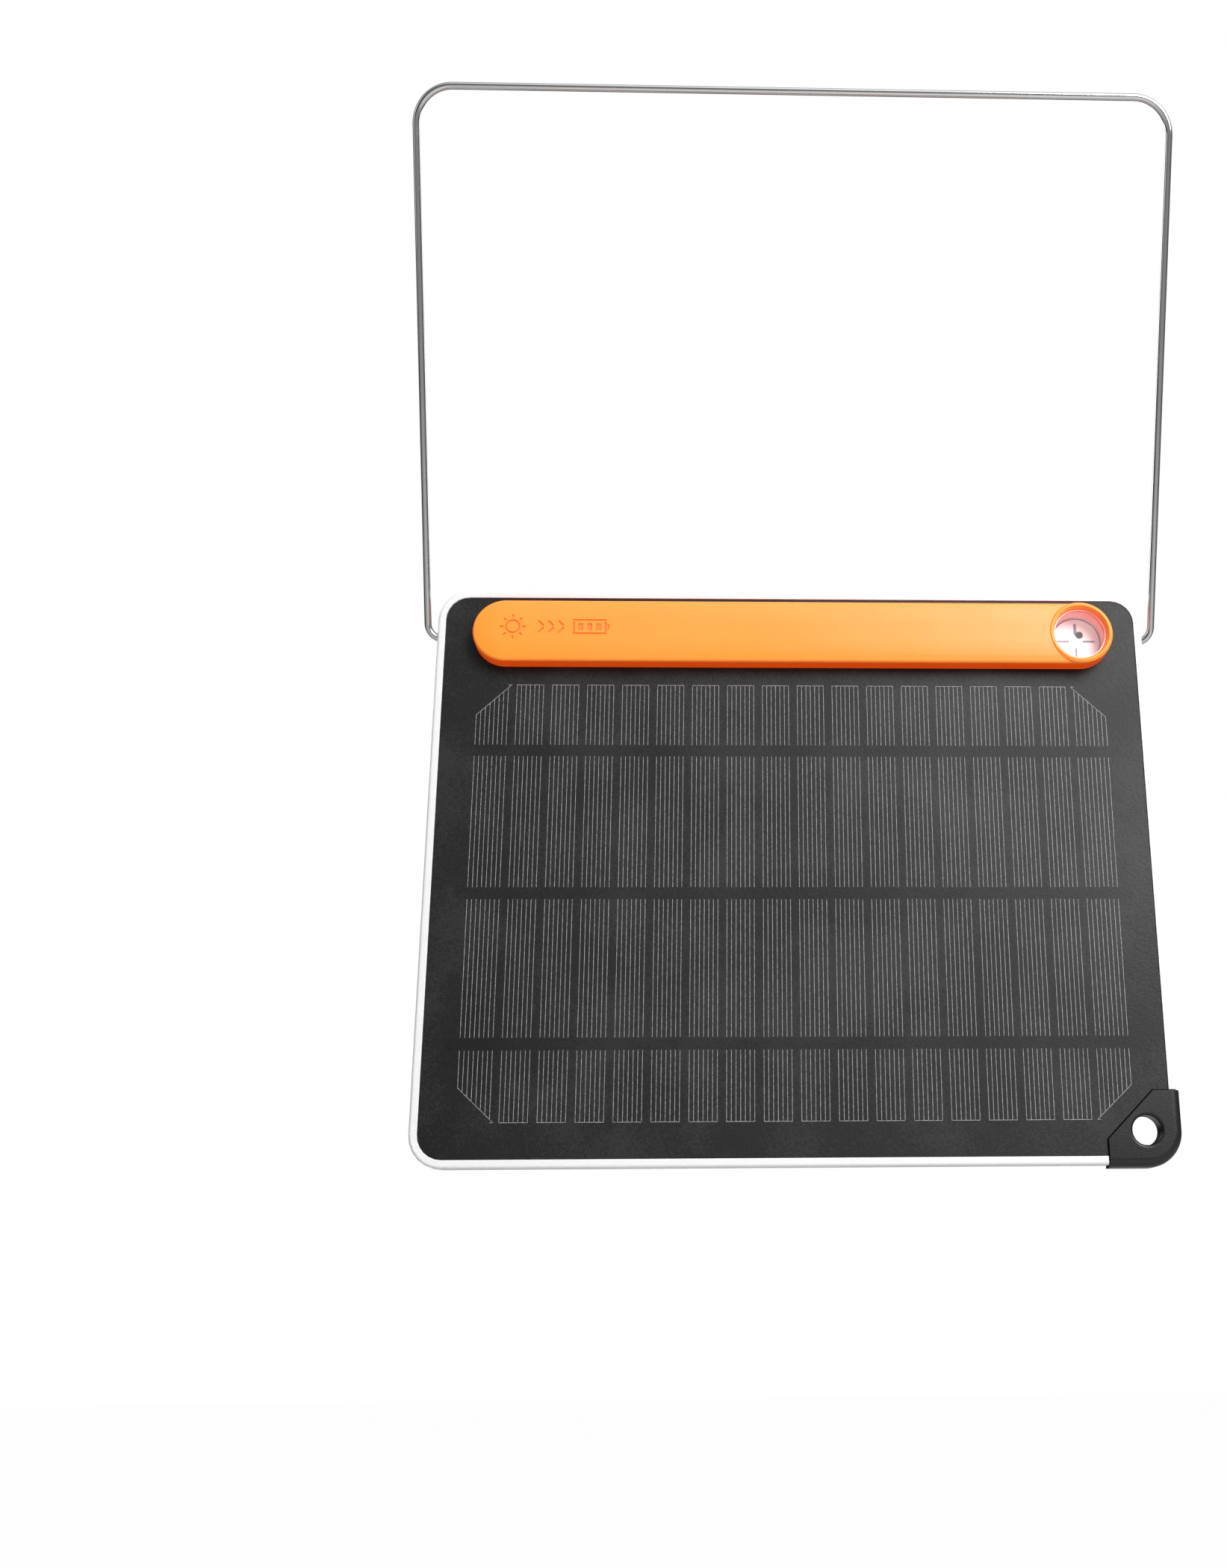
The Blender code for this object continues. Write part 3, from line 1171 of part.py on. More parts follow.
def build_all():
    """Make every piece of the charger."""
    clear_scene()
    materials = {
        "tray": make_material("milky_plastic", (0.86, 0.87, 0.88), 0.35),
        "film": make_material("dark_film", (0.05, 0.05, 0.055), 0.45),
        "board": make_material("black_board", (0.02, 0.02, 0.02), 0.6),
        "cell": make_material("solar_cell", (0.03, 0.035, 0.05), 0.3),
        "tape": make_material("dark_tape", (0.04, 0.04, 0.045), 0.5),
        "shell": make_material("orange_plastic", (0.95, 0.42, 0.05), 0.35),
        "steel": make_material("bright_steel", (0.75, 0.76, 0.78), 0.22, metallic=1.0),
        "screw": make_material("black_steel", (0.08, 0.08, 0.09), 0.35, metallic=1.0),
        "clear": make_material("clear_plastic", (0.95, 0.97, 1.0), 0.05, alpha=0.25),
        "black": make_material("black_plastic", (0.01, 0.01, 0.01), 0.4),
        "dial": make_material("white_dial", (0.9, 0.9, 0.88), 0.5),
        "cup": make_material("pale_cup", (0.9, 0.75, 0.68), 0.5),
        "battery": make_material("battery_sleeve", (0.1, 0.35, 0.65), 0.35),
        "contact": make_material("nickel_contact", (0.7, 0.68, 0.62), 0.3, metallic=1.0),
        "lead_negative": make_material("black_lead", (0.02, 0.02, 0.02), 0.45),
        "lead_positive": make_material("red_lead", (0.7, 0.04, 0.03), 0.45),
        "circuit": make_material("circuit_board_green", (0.02, 0.2, 0.08), 0.4),
        "tongue": make_material("white_tongue", (0.85, 0.85, 0.83), 0.5),
        "led": make_material("lamp_body", (0.9, 0.88, 0.75), 0.3),
        "guide": make_material("frosted_guide", (0.9, 0.92, 0.92), 0.4, alpha=0.8),
        "button": make_material("grey_button", (0.35, 0.36, 0.38), 0.5),
        "rubber": make_material("grey_rubber", (0.16, 0.16, 0.17), 0.75),
        "bush": make_material("bush_plastic", (0.12, 0.12, 0.13), 0.5),
        "lash": make_material("black_nylon", (0.02, 0.02, 0.02), 0.5),
    }
    panel = make_empty("panel_hinge", hinge_place())
    module = make_empty("module_centre", (MODULE_OFFSET, 0.0, 0.0), panel)
    build_bail(materials["steel"])
    build_bushes(panel, materials["bush"])
    build_tray(panel, materials["tray"])
    build_laminate(panel, materials)
    build_lash_corner(panel, materials["lash"])
    build_front_shell(module, materials["shell"])
    build_rear_shell(module, materials["shell"])
    build_screws(module, materials["screw"])
    build_sundial(module, materials)
    build_battery(module, materials)
    build_circuit(module, materials)
    build_button(module, materials["button"])
    build_port_cover(module, materials)
    build_panel_leads(module, materials)


build_all()
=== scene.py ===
"""Looks of a hanging solar charger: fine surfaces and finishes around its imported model.

Run as a script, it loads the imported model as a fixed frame, puts the finished pieces on its bodies
and sets a camera, a pale floor and soft light. All sizes are in metres, +Z up, front towards -Y.
"""

import json
import math

import bmesh
import bpy
from bpy.props import FloatProperty, FloatVectorProperty, IntProperty, PointerProperty
from mathutils import Matrix, Vector

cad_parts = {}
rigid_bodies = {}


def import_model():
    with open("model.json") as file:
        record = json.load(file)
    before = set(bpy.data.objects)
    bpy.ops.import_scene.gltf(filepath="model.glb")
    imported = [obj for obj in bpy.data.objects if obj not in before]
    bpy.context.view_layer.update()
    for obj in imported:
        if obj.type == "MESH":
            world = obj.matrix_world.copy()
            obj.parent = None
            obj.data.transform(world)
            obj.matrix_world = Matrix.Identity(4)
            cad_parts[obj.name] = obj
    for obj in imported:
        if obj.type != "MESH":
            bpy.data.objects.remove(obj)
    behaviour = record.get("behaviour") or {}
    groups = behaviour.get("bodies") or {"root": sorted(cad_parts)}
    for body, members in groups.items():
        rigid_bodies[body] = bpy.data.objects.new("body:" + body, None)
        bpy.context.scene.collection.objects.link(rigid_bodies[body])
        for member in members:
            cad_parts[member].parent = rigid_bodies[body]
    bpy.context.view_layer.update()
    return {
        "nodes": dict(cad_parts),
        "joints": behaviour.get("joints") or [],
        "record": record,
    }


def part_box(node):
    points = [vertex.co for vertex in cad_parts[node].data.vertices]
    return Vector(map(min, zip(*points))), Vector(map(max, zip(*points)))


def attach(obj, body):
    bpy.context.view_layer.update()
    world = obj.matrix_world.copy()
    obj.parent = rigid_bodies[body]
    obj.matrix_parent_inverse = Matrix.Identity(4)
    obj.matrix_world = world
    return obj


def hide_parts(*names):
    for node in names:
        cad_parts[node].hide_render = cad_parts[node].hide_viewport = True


bl_info = {
    "name": "Solar Charger Finish",
    "version": (1, 1, 0),
    "blender": (4, 5, 0),
    "location": "View3D > Sidebar > Charger",
    "description": "Finished surfaces, materials and stage for a hanging solar charger",
    "category": "Object",
}

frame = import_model()

# Places taken from the frame
FRAME_LOW, FRAME_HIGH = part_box("rear_tray")
FILM_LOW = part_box("front_film")[0]
MODULE_LOW, MODULE_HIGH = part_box("front_shell")
LENS_LOW, LENS_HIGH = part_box("sundial_lens")
DIAL_LOW, DIAL_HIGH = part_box("sundial_dial")
STRIP_LOW, STRIP_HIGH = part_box("cell_strip_01")
LAST_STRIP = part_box("cell_strip_18")
WIRE_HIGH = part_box("wire_bail")[1]
LASH_LOW, LASH_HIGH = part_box("lash_corner")
HINGE = Vector(next(j["pos_m"] for j in frame["joints"] if j["name"] == "bail_hinge"))
SUNDIAL_X = (LENS_LOW.x + LENS_HIGH.x) / 2
STRIP_COUNT = sum(name.startswith("cell_strip") for name in frame["nodes"])
SCREWS = sorted(name for name in frame["nodes"] if name.startswith("shell_screw"))
WELD = 2e-6  # points this close are one point after a Boolean
CLEAR = 0.001  # how far a cutter passes the surface that it cuts


# ---------------------------------------------------------------- settings


class ChargerColours(bpy.types.PropertyGroup):
    """Colours of the visible plastics."""

    module: FloatVectorProperty(
        name="Module", description="Face of the battery module", subtype="COLOR",
        size=3, min=0.0, max=1.0, default=(0.9, 0.235, 0.018),
    )
    # Painted shade: the deeper colour that stands in for shade along the module's sides and foot.
    module_shaded: FloatVectorProperty(
        name="Module edge", description="Module colour at its foot", subtype="COLOR",
        size=3, min=0.0, max=1.0, default=(0.86, 0.085, 0.002),
    )
    moulding: FloatVectorProperty(
        name="Frame", description="Milky frame", subtype="COLOR",
        size=3, min=0.0, max=1.0, default=(0.58, 0.58, 0.58),
    )
    film: FloatVectorProperty(
        name="Film", description="Textured black film", subtype="COLOR",
        size=3, min=0.0, max=1.0, default=(0.0055, 0.0055, 0.0056),
    )
    nylon: FloatVectorProperty(
        name="Nylon", description="Black lash corner", subtype="COLOR",
        size=3, min=0.0, max=1.0, default=(0.006, 0.006, 0.0062),
    )


class ChargerPrint(bpy.types.PropertyGroup):
    """Silver grid that shows on the cell strips."""

    steps: IntProperty(
        name="Steps", description="Finger steps across one strip", min=2, max=16, default=8
    )
    line_width: FloatProperty(
        name="Line width", description="Width of a finger", unit="LENGTH", default=0.00016
    )
    line_height: FloatProperty(
        name="Line height", description="How far the print stands up", unit="LENGTH",
        default=0.00003,
    )
    tape_gap: FloatProperty(
        name="Tape gap", description="Break in the fingers under a tape", unit="LENGTH",
        default=0.0043,
    )
    corner_width: FloatProperty(
        name="Corner width", description="Cut corner along the top", unit="LENGTH", default=0.0122
    )
    corner_height: FloatProperty(
        name="Corner height", description="Cut corner down the side", unit="LENGTH",
        default=0.0115,
    )


class ChargerModule(bpy.types.PropertyGroup):
    """Shape of the orange module's front half."""

    wall: FloatProperty(
        name="Wall", description="Wall of the shell", unit="LENGTH", default=0.0016
    )
    edge: FloatProperty(
        name="Edge", description="Rounding of the front edge", unit="LENGTH", default=0.0012
    )
    crown: FloatProperty(
        name="Crown", description="Swell of the front face", unit="LENGTH", default=0.0006
    )
    bead_width: FloatProperty(
        name="Bead width", description="Round bead about the sundial", unit="LENGTH",
        default=0.0022,
    )
    bead_rise: FloatProperty(
        name="Bead rise", description="Bead above the face", unit="LENGTH", default=0.0006
    )
    engraving: FloatProperty(
        name="Engraving", description="Depth of the engraved signs", unit="LENGTH",
        default=0.0003,
    )


class ChargerStage(bpy.types.PropertyGroup):
    """Light and floor."""

    floor_drop: FloatProperty(
        name="Floor drop", description="Floor below the panel", unit="LENGTH", default=0.45
    )
    key_power: FloatProperty(name="Key", description="Key light", unit="POWER", default=44.0)
    fill_power: FloatProperty(name="Fill", description="Fill light", unit="POWER", default=3.0)
    low_power: FloatProperty(name="Low", description="Light from below", unit="POWER", default=0.3)
    back_power: FloatProperty(name="Back", description="Back lights", unit="POWER", default=16.0)
    sky: FloatProperty(name="Sky", description="Surrounding light", min=0.0, default=0.9)


def colours():
    return bpy.context.scene.charger_colours


# ---------------------------------------------------------------- shader groups


def socket(tree, name, kind, direction, default=None):
    """Add a named socket to a node group."""
    made = tree.interface.new_socket(name=name, in_out=direction, socket_type=kind)
    if default is not None:
        made.default_value = default
    return made


def maths(tree, operation, first, second=None, third=None):
    """A Math node fed by sockets or numbers, and its output."""
    node = tree.nodes.new("ShaderNodeMath")
    node.operation = operation
    for slot, value in zip(node.inputs, (first, second, third)):
        if value is None:
            continue
        if isinstance(value, (int, float)):
            slot.default_value = value
        else:
            tree.links.new(value, slot)
    return node.outputs[0]


def noise(tree, vector, scale, detail=3.0, roughness=0.5):
    """A noise texture's value."""
    node = tree.nodes.new("ShaderNodeTexNoise")
    node.inputs["Detail"].default_value = detail
    node.inputs["Roughness"].default_value = roughness
    tree.links.new(vector, node.inputs["Vector"])
    if isinstance(scale, (int, float)):
        node.inputs["Scale"].default_value = scale
    else:
        tree.links.new(scale, node.inputs["Scale"])
    return node.outputs["Fac"]


def spread(tree, value, low, high, new_low, new_high):
    """Map a value's range onto another, clamped and eased at both ends."""
    node = tree.nodes.new("ShaderNodeMapRange")
    node.interpolation_type = "SMOOTHSTEP"
    for slot, number in zip(node.inputs[1:5], (low, high, new_low, new_high)):
        slot.default_value = number
    tree.links.new(value, node.inputs[0])
    return node.outputs[0]


def mixed(tree, factor, low, high, blend="MIX"):
    """A colour mix of colours or sockets."""
    node = tree.nodes.new("ShaderNodeMix")
    node.data_type = "RGBA"
    node.blend_type = blend
    for slot, value in (("A", low), ("B", high), ("Factor", factor)):
        if isinstance(value, bpy.types.NodeSocket):
            tree.links.new(value, node.inputs[slot])
        else:
            node.inputs[slot].default_value = value if slot == "Factor" else (*value, 1.0)
    return node.outputs["Result"]


def grain_group():
    """Moulded texture: a fine even grain with a slow swell, as a height and a tone."""
    if "moulded_grain" in bpy.data.node_groups:
        return bpy.data.node_groups["moulded_grain"]
    tree = bpy.data.node_groups.new("moulded_grain", "ShaderNodeTree")
    socket(tree, "Vector", "NodeSocketVector", "INPUT")
    socket(tree, "Scale", "NodeSocketFloat", "INPUT", 4000.0)
    socket(tree, "Swell", "NodeSocketFloat", "INPUT", 0.2)
    socket(tree, "Height", "NodeSocketFloat", "OUTPUT")
    socket(tree, "Tone", "NodeSocketFloat", "OUTPUT")
    start = tree.nodes.new("NodeGroupInput")
    end = tree.nodes.new("NodeGroupOutput")
    fine = noise(tree, start.outputs["Vector"], start.outputs["Scale"], 2.0)
    slow = noise(tree, start.outputs["Vector"], 45.0, 2.0)
    swell = maths(tree, "MULTIPLY", slow, start.outputs["Swell"])
    tree.links.new(maths(tree, "ADD", fine, swell), end.inputs["Height"])
    tone = maths(tree, "MULTIPLY_ADD", fine, 0.5, maths(tree, "MULTIPLY", slow, 0.5))
    tree.links.new(tone, end.inputs["Tone"])
    return tree


def handling_group():
    """Marks of handling: soft smudges and fine scuffs, as two masks."""
    if "handling_marks" in bpy.data.node_groups:
        return bpy.data.node_groups["handling_marks"]
    tree = bpy.data.node_groups.new("handling_marks", "ShaderNodeTree")
    socket(tree, "Vector", "NodeSocketVector", "INPUT")
    socket(tree, "Smudge size", "NodeSocketFloat", "INPUT", 22.0)
    socket(tree, "Smudge", "NodeSocketFloat", "OUTPUT")
    socket(tree, "Scuff", "NodeSocketFloat", "OUTPUT")
    start = tree.nodes.new("NodeGroupInput")
    end = tree.nodes.new("NodeGroupOutput")
    smudge = noise(tree, start.outputs["Vector"], start.outputs["Smudge size"], 4.0, 0.6)
    tree.links.new(spread(tree, smudge, 0.4, 0.72, 0.0, 1.0), end.inputs["Smudge"])
    stretch = tree.nodes.new("ShaderNodeMapping")
    stretch.inputs["Scale"].default_value = (1.0, 1.0, 14.0)
    stretch.inputs["Rotation"].default_value = (0.0, math.radians(24.0), 0.0)
    tree.links.new(start.outputs["Vector"], stretch.inputs["Vector"])
    scuff = noise(tree, stretch.outputs[0], 260.0, 3.0, 0.7)
    tree.links.new(spread(tree, scuff, 0.66, 0.74, 0.0, 1.0), end.inputs["Scuff"])
    return tree


# ---------------------------------------------------------------- materials


class Finish:
    """One material: a Principled shader and the nodes that vary it over the surface."""

    def __init__(self, name, roughness, metallic=0.0, ior=1.5):
        self.material = bpy.data.materials.new(name)
        self.material.use_nodes = True
        self.tree = self.material.node_tree
        self.shader = self.tree.nodes["Principled BSDF"]
        self.set(Metallic=metallic, IOR=ior, Roughness=roughness)
        self.place = self.tree.nodes.new("ShaderNodeTexCoord").outputs["Object"]

    def set(self, **values):
        for name, value in values.items():
            self.shader.inputs[name.replace("_", " ")].default_value = value

    def group(self, tree, **values):
        node = self.tree.nodes.new("ShaderNodeGroup")
        node.node_tree = tree
        self.tree.links.new(self.place, node.inputs["Vector"])
        for name, value in values.items():
            node.inputs[name.replace("_", " ")].default_value = value
        return node

    def colour(self, value):
        self.tree.links.new(value, self.shader.inputs["Base Color"])

    def bump(self, height, distance):
        node = self.tree.nodes.new("ShaderNodeBump")
        node.inputs["Distance"].default_value = distance
        self.tree.links.new(height, node.inputs["Height"])
        self.tree.links.new(node.outputs["Normal"], self.shader.inputs["Normal"])

    def rough(self, value, low, high):
        out = spread(self.tree, value, 0.0, 1.0, low, high)
        self.tree.links.new(out, self.shader.inputs["Roughness"])

    def axis(self, name):
        """One coordinate of the place on the object."""
        split = self.tree.nodes.new("ShaderNodeSeparateXYZ")
        self.tree.links.new(self.place, split.inputs[0])
        return split.outputs[name]

    def glow(self, weight, radius, scale):
        """Light that sinks into the plastic and spreads."""
        self.set(Subsurface_Weight=weight, Subsurface_Radius=radius, Subsurface_Scale=scale)


def shade(colour, factor):
    return tuple(min(1.0, channel * factor) for channel in colour)


def mean(first, second):
    return tuple((one + other) / 2 for one, other in zip(first, second))


def plastic(name, colour, roughness, grain=5000.0, depth=0.00001, variation=0.08):
    """Moulded plastic with a fine grain, uneven gloss and light handling marks."""
    finish = Finish(name, roughness)
    grains = finish.group(grain_group(), Scale=grain)
    marks = finish.group(handling_group())
    tones = shade(colour, 1 - variation), shade(colour, 1 + variation)
    finish.colour(mixed(finish.tree, grains.outputs["Tone"], *tones))
    finish.rough(marks.outputs["Smudge"], roughness, max(0.05, roughness - 0.04))
    finish.bump(grains.outputs["Height"], depth)
    return finish


def orange_plastic(name, colour, shaded_colour, roughness=0.4):
    """Orange moulded plastic with painted shade that deepens its colour towards its foot, and a
    painted glow there.
    """
    finish = Finish(name, roughness)
    tree = finish.tree
    grains = finish.group(grain_group(), Scale=5200.0)
    marks = finish.group(handling_group(), Smudge_size=14.0)
    depth = finish.axis("Y")
    # Painted shade: the foot mask deepens the colour along the module's sides; the rear mask fades
    # it out on the rear half.
    foot = spread(tree, depth, MODULE_LOW.y + 0.0014, MODULE_LOW.y + 0.0034, 0.0, 1.0)
    rear = spread(tree, depth, FRAME_HIGH.y + 0.002, FRAME_HIGH.y + 0.010, 1.0, 0.0)
    tone = mixed(tree, maths(tree, "MULTIPLY", foot, rear), colour, shaded_colour)
    uneven = mixed(tree, grains.outputs["Tone"], tone, (0.96, 0.93, 0.9), "MULTIPLY")
    finish.colour(uneven)
    finish.rough(marks.outputs["Smudge"], roughness, roughness - 0.07)
    finish.bump(grains.outputs["Height"], 0.00001)
    finish.glow(0.25, (1.0, 0.35, 0.1), 0.0022)
    # Painted glow: a dim orange emission along the foot stands in for light through the plastic.
    inner = mixed(tree, foot, (0.0, 0.0, 0.0), (0.24, 0.018, 0.0))
    tree.links.new(inner, finish.shader.inputs["Emission Color"])
    finish.set(Emission_Strength=1.0)
    return finish.material


def film_finish():
    """Black textured film: pebbled grain, with the tapes' bands just showing through."""
    base = tuple(colours().film)
    finish = Finish("dark_film", 0.5)
    tree = finish.tree
    grains = finish.group(grain_group(), Scale=1500.0, Swell=0.6)
    marks = finish.group(handling_group(), Smudge_size=9.0)
    height = finish.axis("Z")
    tapes = 0.0
    for row in ("upper", "middle", "lower"):
        low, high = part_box(f"busbar_tape_{row}")
        away = maths(tree, "ABSOLUTE", maths(tree, "SUBTRACT", height, (low.z + high.z) / 2))
        half = (high.z - low.z) / 2
        tape = spread(tree, away, half - 0.0002, half + 0.0003, 1.0, 0.0)
        tapes = maths(tree, "MAXIMUM", tape, tapes)
    reach = LAST_STRIP[1].x + 0.005
    across = maths(tree, "ABSOLUTE", finish.axis("X"))
    inside = spread(tree, across, reach - 0.0006, reach + 0.0006, 0.35, 0.0)
    band = maths(tree, "MULTIPLY", tapes, inside)
    speckle = spread(tree, grains.outputs["Tone"], 0.42, 0.62, 0.0, 1.0)
    pebbles = mixed(tree, speckle, shade(base, 0.6), shade(base, 2.2))
    finish.colour(mixed(tree, band, pebbles, shade(base, 0.2)))
    finish.rough(marks.outputs["Smudge"], 0.5, 0.43)
    finish.bump(grains.outputs["Height"], 0.00006)
    finish.set(Specular_IOR_Level=0.25)
    return finish.material


def print_finish():
    """Silver paste lines under the film, a little uneven in brightness."""
    finish = Finish("printed_silver", 0.5)
    dots = noise(finish.tree, finish.place, 1500.0, 2.0, 0.6)
    factor = spread(finish.tree, dots, 0.34, 0.62, 0.0, 1.0)
    finish.colour(mixed(finish.tree, factor, (0.13, 0.13, 0.133), (0.27, 0.27, 0.265)))
    finish.bump(dots, 0.00001)
    return finish.material


def steel(name, colour=(0.62, 0.62, 0.63), roughness=0.2, edge=(0.25, 0.25, 0.26)):
    """Drawn or pressed metal with fine uneven polish."""
    finish = Finish(name, roughness, metallic=1.0)
    grains = finish.group(grain_group(), Scale=9000.0, Swell=0.1)
    marks = finish.group(handling_group(), Smudge_size=60.0)
    tones = shade(colour, 0.92), shade(colour, 1.08)
    finish.colour(mixed(finish.tree, grains.outputs["Tone"], *tones))
    finish.rough(marks.outputs["Scuff"], roughness, roughness + 0.15)
    finish.bump(grains.outputs["Height"], 0.000004)
    # Painted shade: the dark edge tint darkens the metal's grazing reflections, in place of dark
    # surroundings reflected at its edges.
    finish.set(Specular_Tint=(*edge, 1.0))
    return finish.material


def clear_plastic():
    """The sundial's clear window."""
    finish = Finish("clear_lens", 0.06, ior=1.49)
    marks = finish.group(handling_group(), Smudge_size=80.0)
    # The pink of both tints is a painted reflection of the orange shell; the smudge mask only varies
    # it.
    tint = mixed(finish.tree, marks.outputs["Smudge"], (0.98, 0.9, 0.93), (1.0, 0.95, 0.97))
    finish.colour(tint)
    finish.rough(marks.outputs["Scuff"], 0.05, 0.12)
    finish.set(Alpha=0.04)
    return finish.material


def cup_plastic():
    """The sundial's pale inner wall with painted orange light from the shell: salmon at its mouth
    and paler by the dial.
    """
    finish = Finish("pale_cup", 0.4)
    tree = finish.tree
    depth = spread(tree, finish.axis("Y"), LENS_HIGH.y, DIAL_LOW.y, 0.0, 1.0)
    grains = finish.group(grain_group(), Scale=4000.0)
    # Painted light: orange light from the shell, strongest at the mouth and fading towards the dial.
    tone = mixed(tree, depth, (1.0, 0.26, 0.18), (0.85, 0.5, 0.52))
    finish.colour(mixed(tree, grains.outputs["Tone"], tone, (0.95, 0.93, 0.93), "MULTIPLY"))
    finish.bump(grains.outputs["Height"], 0.000008)
    finish.glow(0.3, (1.0, 0.4, 0.3), 0.002)
    return finish.material


# ---------------------------------------------------------------- mesh helpers


def soft_edges(bm, edges, width, segments=3):
    """Round edges by a bevel."""
    bmesh.ops.bevel(
        bm, geom=edges, affect="EDGES", offset=width, segments=segments, profile=0.5,
        material=-1, clamp_overlap=True,
    )


def push(bm, faces, depth):
    """Give a flat face a thickness along Y, and return the far face's points."""
    made = bmesh.ops.extrude_face_region(bm, geom=faces)["geom"]
    far = [item for item in made if isinstance(item, bmesh.types.BMVert)]
    bmesh.ops.translate(bm, verts=far, vec=(0.0, depth, 0.0))
    return far


def ring_edges(bm, depth, near=1e-6):
    """Edges that lie in the plane at one depth."""
    return [
        edge for edge in bm.edges if all(abs(point.co.y - depth) < near for point in edge.verts)
    ]


def sharp_edges(bm, depth, angle=40.0):
    """Edges at one depth where two faces meet at a marked angle."""
    least = math.radians(angle)
    return [edge for edge in ring_edges(bm, depth) if edge.calc_face_angle(0.0) > least]


def merge_into(bm, other):
    """Add another bmesh's shape to this one."""
    mesh = bpy.data.meshes.new("joined_shape")
    other.to_mesh(mesh)
    other.free()
    bm.from_mesh(mesh)
    bpy.data.meshes.remove(mesh)


def bar(length, height, front, back, middle, segments=96):
    """A new bmesh: a straight bar with half-round ends, seen from the front."""
    bm = bmesh.new()
    spin = Matrix.Rotation(math.radians(90), 4, "X") @ Matrix.Rotation(math.pi / segments, 4, "Z")
    ring = bmesh.ops.create_circle(
        bm, cap_ends=True, radius=height / 2, segments=segments, matrix=spin
    )["verts"]
    for side in (-1, 1):
        half = [point for point in ring if point.co.x * side > 0]
        bmesh.ops.translate(bm, verts=half, vec=(side * (length - height) / 2, 0.0, 0.0))
    bmesh.ops.translate(bm, verts=ring, vec=(middle.x, front, middle.z))
    push(bm, bm.faces[:], back - front)
    bmesh.ops.recalc_face_normals(bm, faces=bm.faces[:])
    return bm


def rod(bm, x, z, radius, front, back, segments=48):
    """Add a round post along Y."""
    place = Matrix.Translation((x, (front + back) / 2, z)) @ Matrix.Rotation(math.pi / 2, 4, "X")
    bmesh.ops.create_cone(
        bm, cap_ends=True, segments=segments, radius1=radius, radius2=radius,
        depth=back - front, matrix=place,
    )


def slab(bm, start, end, width, front, back):
    """Add a straight flat stroke between two (x, z) places."""
    span = Vector((end[0] - start[0], 0.0, end[1] - start[1]))
    middle = Vector(((start[0] + end[0]) / 2, (front + back) / 2, (start[1] + end[1]) / 2))
    turn = Matrix.Rotation(-math.atan2(span.z, span.x), 4, "Y")
    size = Matrix.Diagonal((span.length, back - front, width, 1.0))
    bmesh.ops.create_cube(bm, size=1.0, matrix=Matrix.Translation(middle) @ turn @ size)


def spun(section, x, z, steps=96):
    """A new bmesh: a closed section of (radius, depth) corners turned about the Y axis."""
    bm = bmesh.new()
    corners = [bm.verts.new((radius, depth, 0.0)) for radius, depth in section]
    pairs = zip(corners, corners[1:] + corners[:1])
    sides = [bm.edges.new(pair) for pair in pairs if pair[0].co.x + pair[1].co.x > 0.0]
    bmesh.ops.spin(
        bm, geom=corners + sides, cent=(0, 0, 0), axis=(0, 1, 0), angle=math.tau, steps=steps,
        use_merge=True,
    )
    bmesh.ops.remove_doubles(bm, verts=bm.verts[:], dist=1e-7)
    bmesh.ops.recalc_face_normals(bm, faces=bm.faces[:])
    bmesh.ops.translate(bm, verts=bm.verts[:], vec=(x, 0.0, z))
    return bm


def carve(bm, tool, operation="DIFFERENCE"):
    """Cut one closed shape from another, or join them, and return the result."""
    holders = []
    for name, shape in (("carved", bm), ("carver", tool)):
        mesh = bpy.data.meshes.new(name)
        mesh.materials.append(None)
        mesh.materials.append(None)
        shape.to_mesh(mesh)
        shape.free()
        holder = bpy.data.objects.new(name, mesh)
        bpy.context.scene.collection.objects.link(holder)
        holders.append(holder)
    modifier = holders[0].modifiers.new("carve", "BOOLEAN")
    modifier.operation = operation
    modifier.solver = "EXACT"
    modifier.object = holders[1]
    result = bmesh.new()
    result.from_object(holders[0], bpy.context.evaluated_depsgraph_get())
    for holder in holders:
        mesh = holder.data
        bpy.data.objects.remove(holder)
        bpy.data.meshes.remove(mesh)
    return result


def add_piece(name, bm, materials, body, replaced=(), sharp=math.radians(32.0)):
    """Make a bmesh a piece that rides on a body, with its finish and the nodes it stands for."""
    for face in bm.faces:
        face.smooth = True
    for edge in bm.edges:
        if len(edge.link_faces) == 2 and edge.calc_face_angle(0.0) > sharp:
            edge.smooth = False
    mesh = bpy.data.meshes.new(name)
    bm.to_mesh(mesh)
    bm.free()
    piece = bpy.data.objects.new(name, mesh)
    bpy.context.scene.collection.objects.link(piece)
    for material in materials if isinstance(materials, (list, tuple)) else [materials]:
        piece.data.materials.append(material)
    flat = piece.modifiers.new("flat_faces", "WEIGHTED_NORMAL")
    flat.keep_sharp = True
    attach(piece, body)
    if replaced:
        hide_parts(*replaced)
    return piece


def merged_copy(node):
    """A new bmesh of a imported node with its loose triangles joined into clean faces."""
    bm = bmesh.new()
    bm.from_mesh(frame["nodes"][node].data)
    bmesh.ops.remove_doubles(bm, verts=bm.verts[:], dist=1e-6)
    bmesh.ops.dissolve_limit(
        bm, angle_limit=math.radians(0.6), verts=bm.verts[:], edges=bm.edges[:]
    )
    return bm


def finished_copy(node, name, material, slot, edge=0.00015, body="panel"):
    """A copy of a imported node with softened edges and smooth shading."""
    bm = merged_copy(node)
    corners = [line for line in bm.edges if line.calc_face_angle(0.0) > math.radians(40.0)]
    if edge and corners:
        soft_edges(bm, corners, edge, 2)
    return add_piece(name, bm, material, body, (node,))


# ---------------------------------------------------------------- pieces


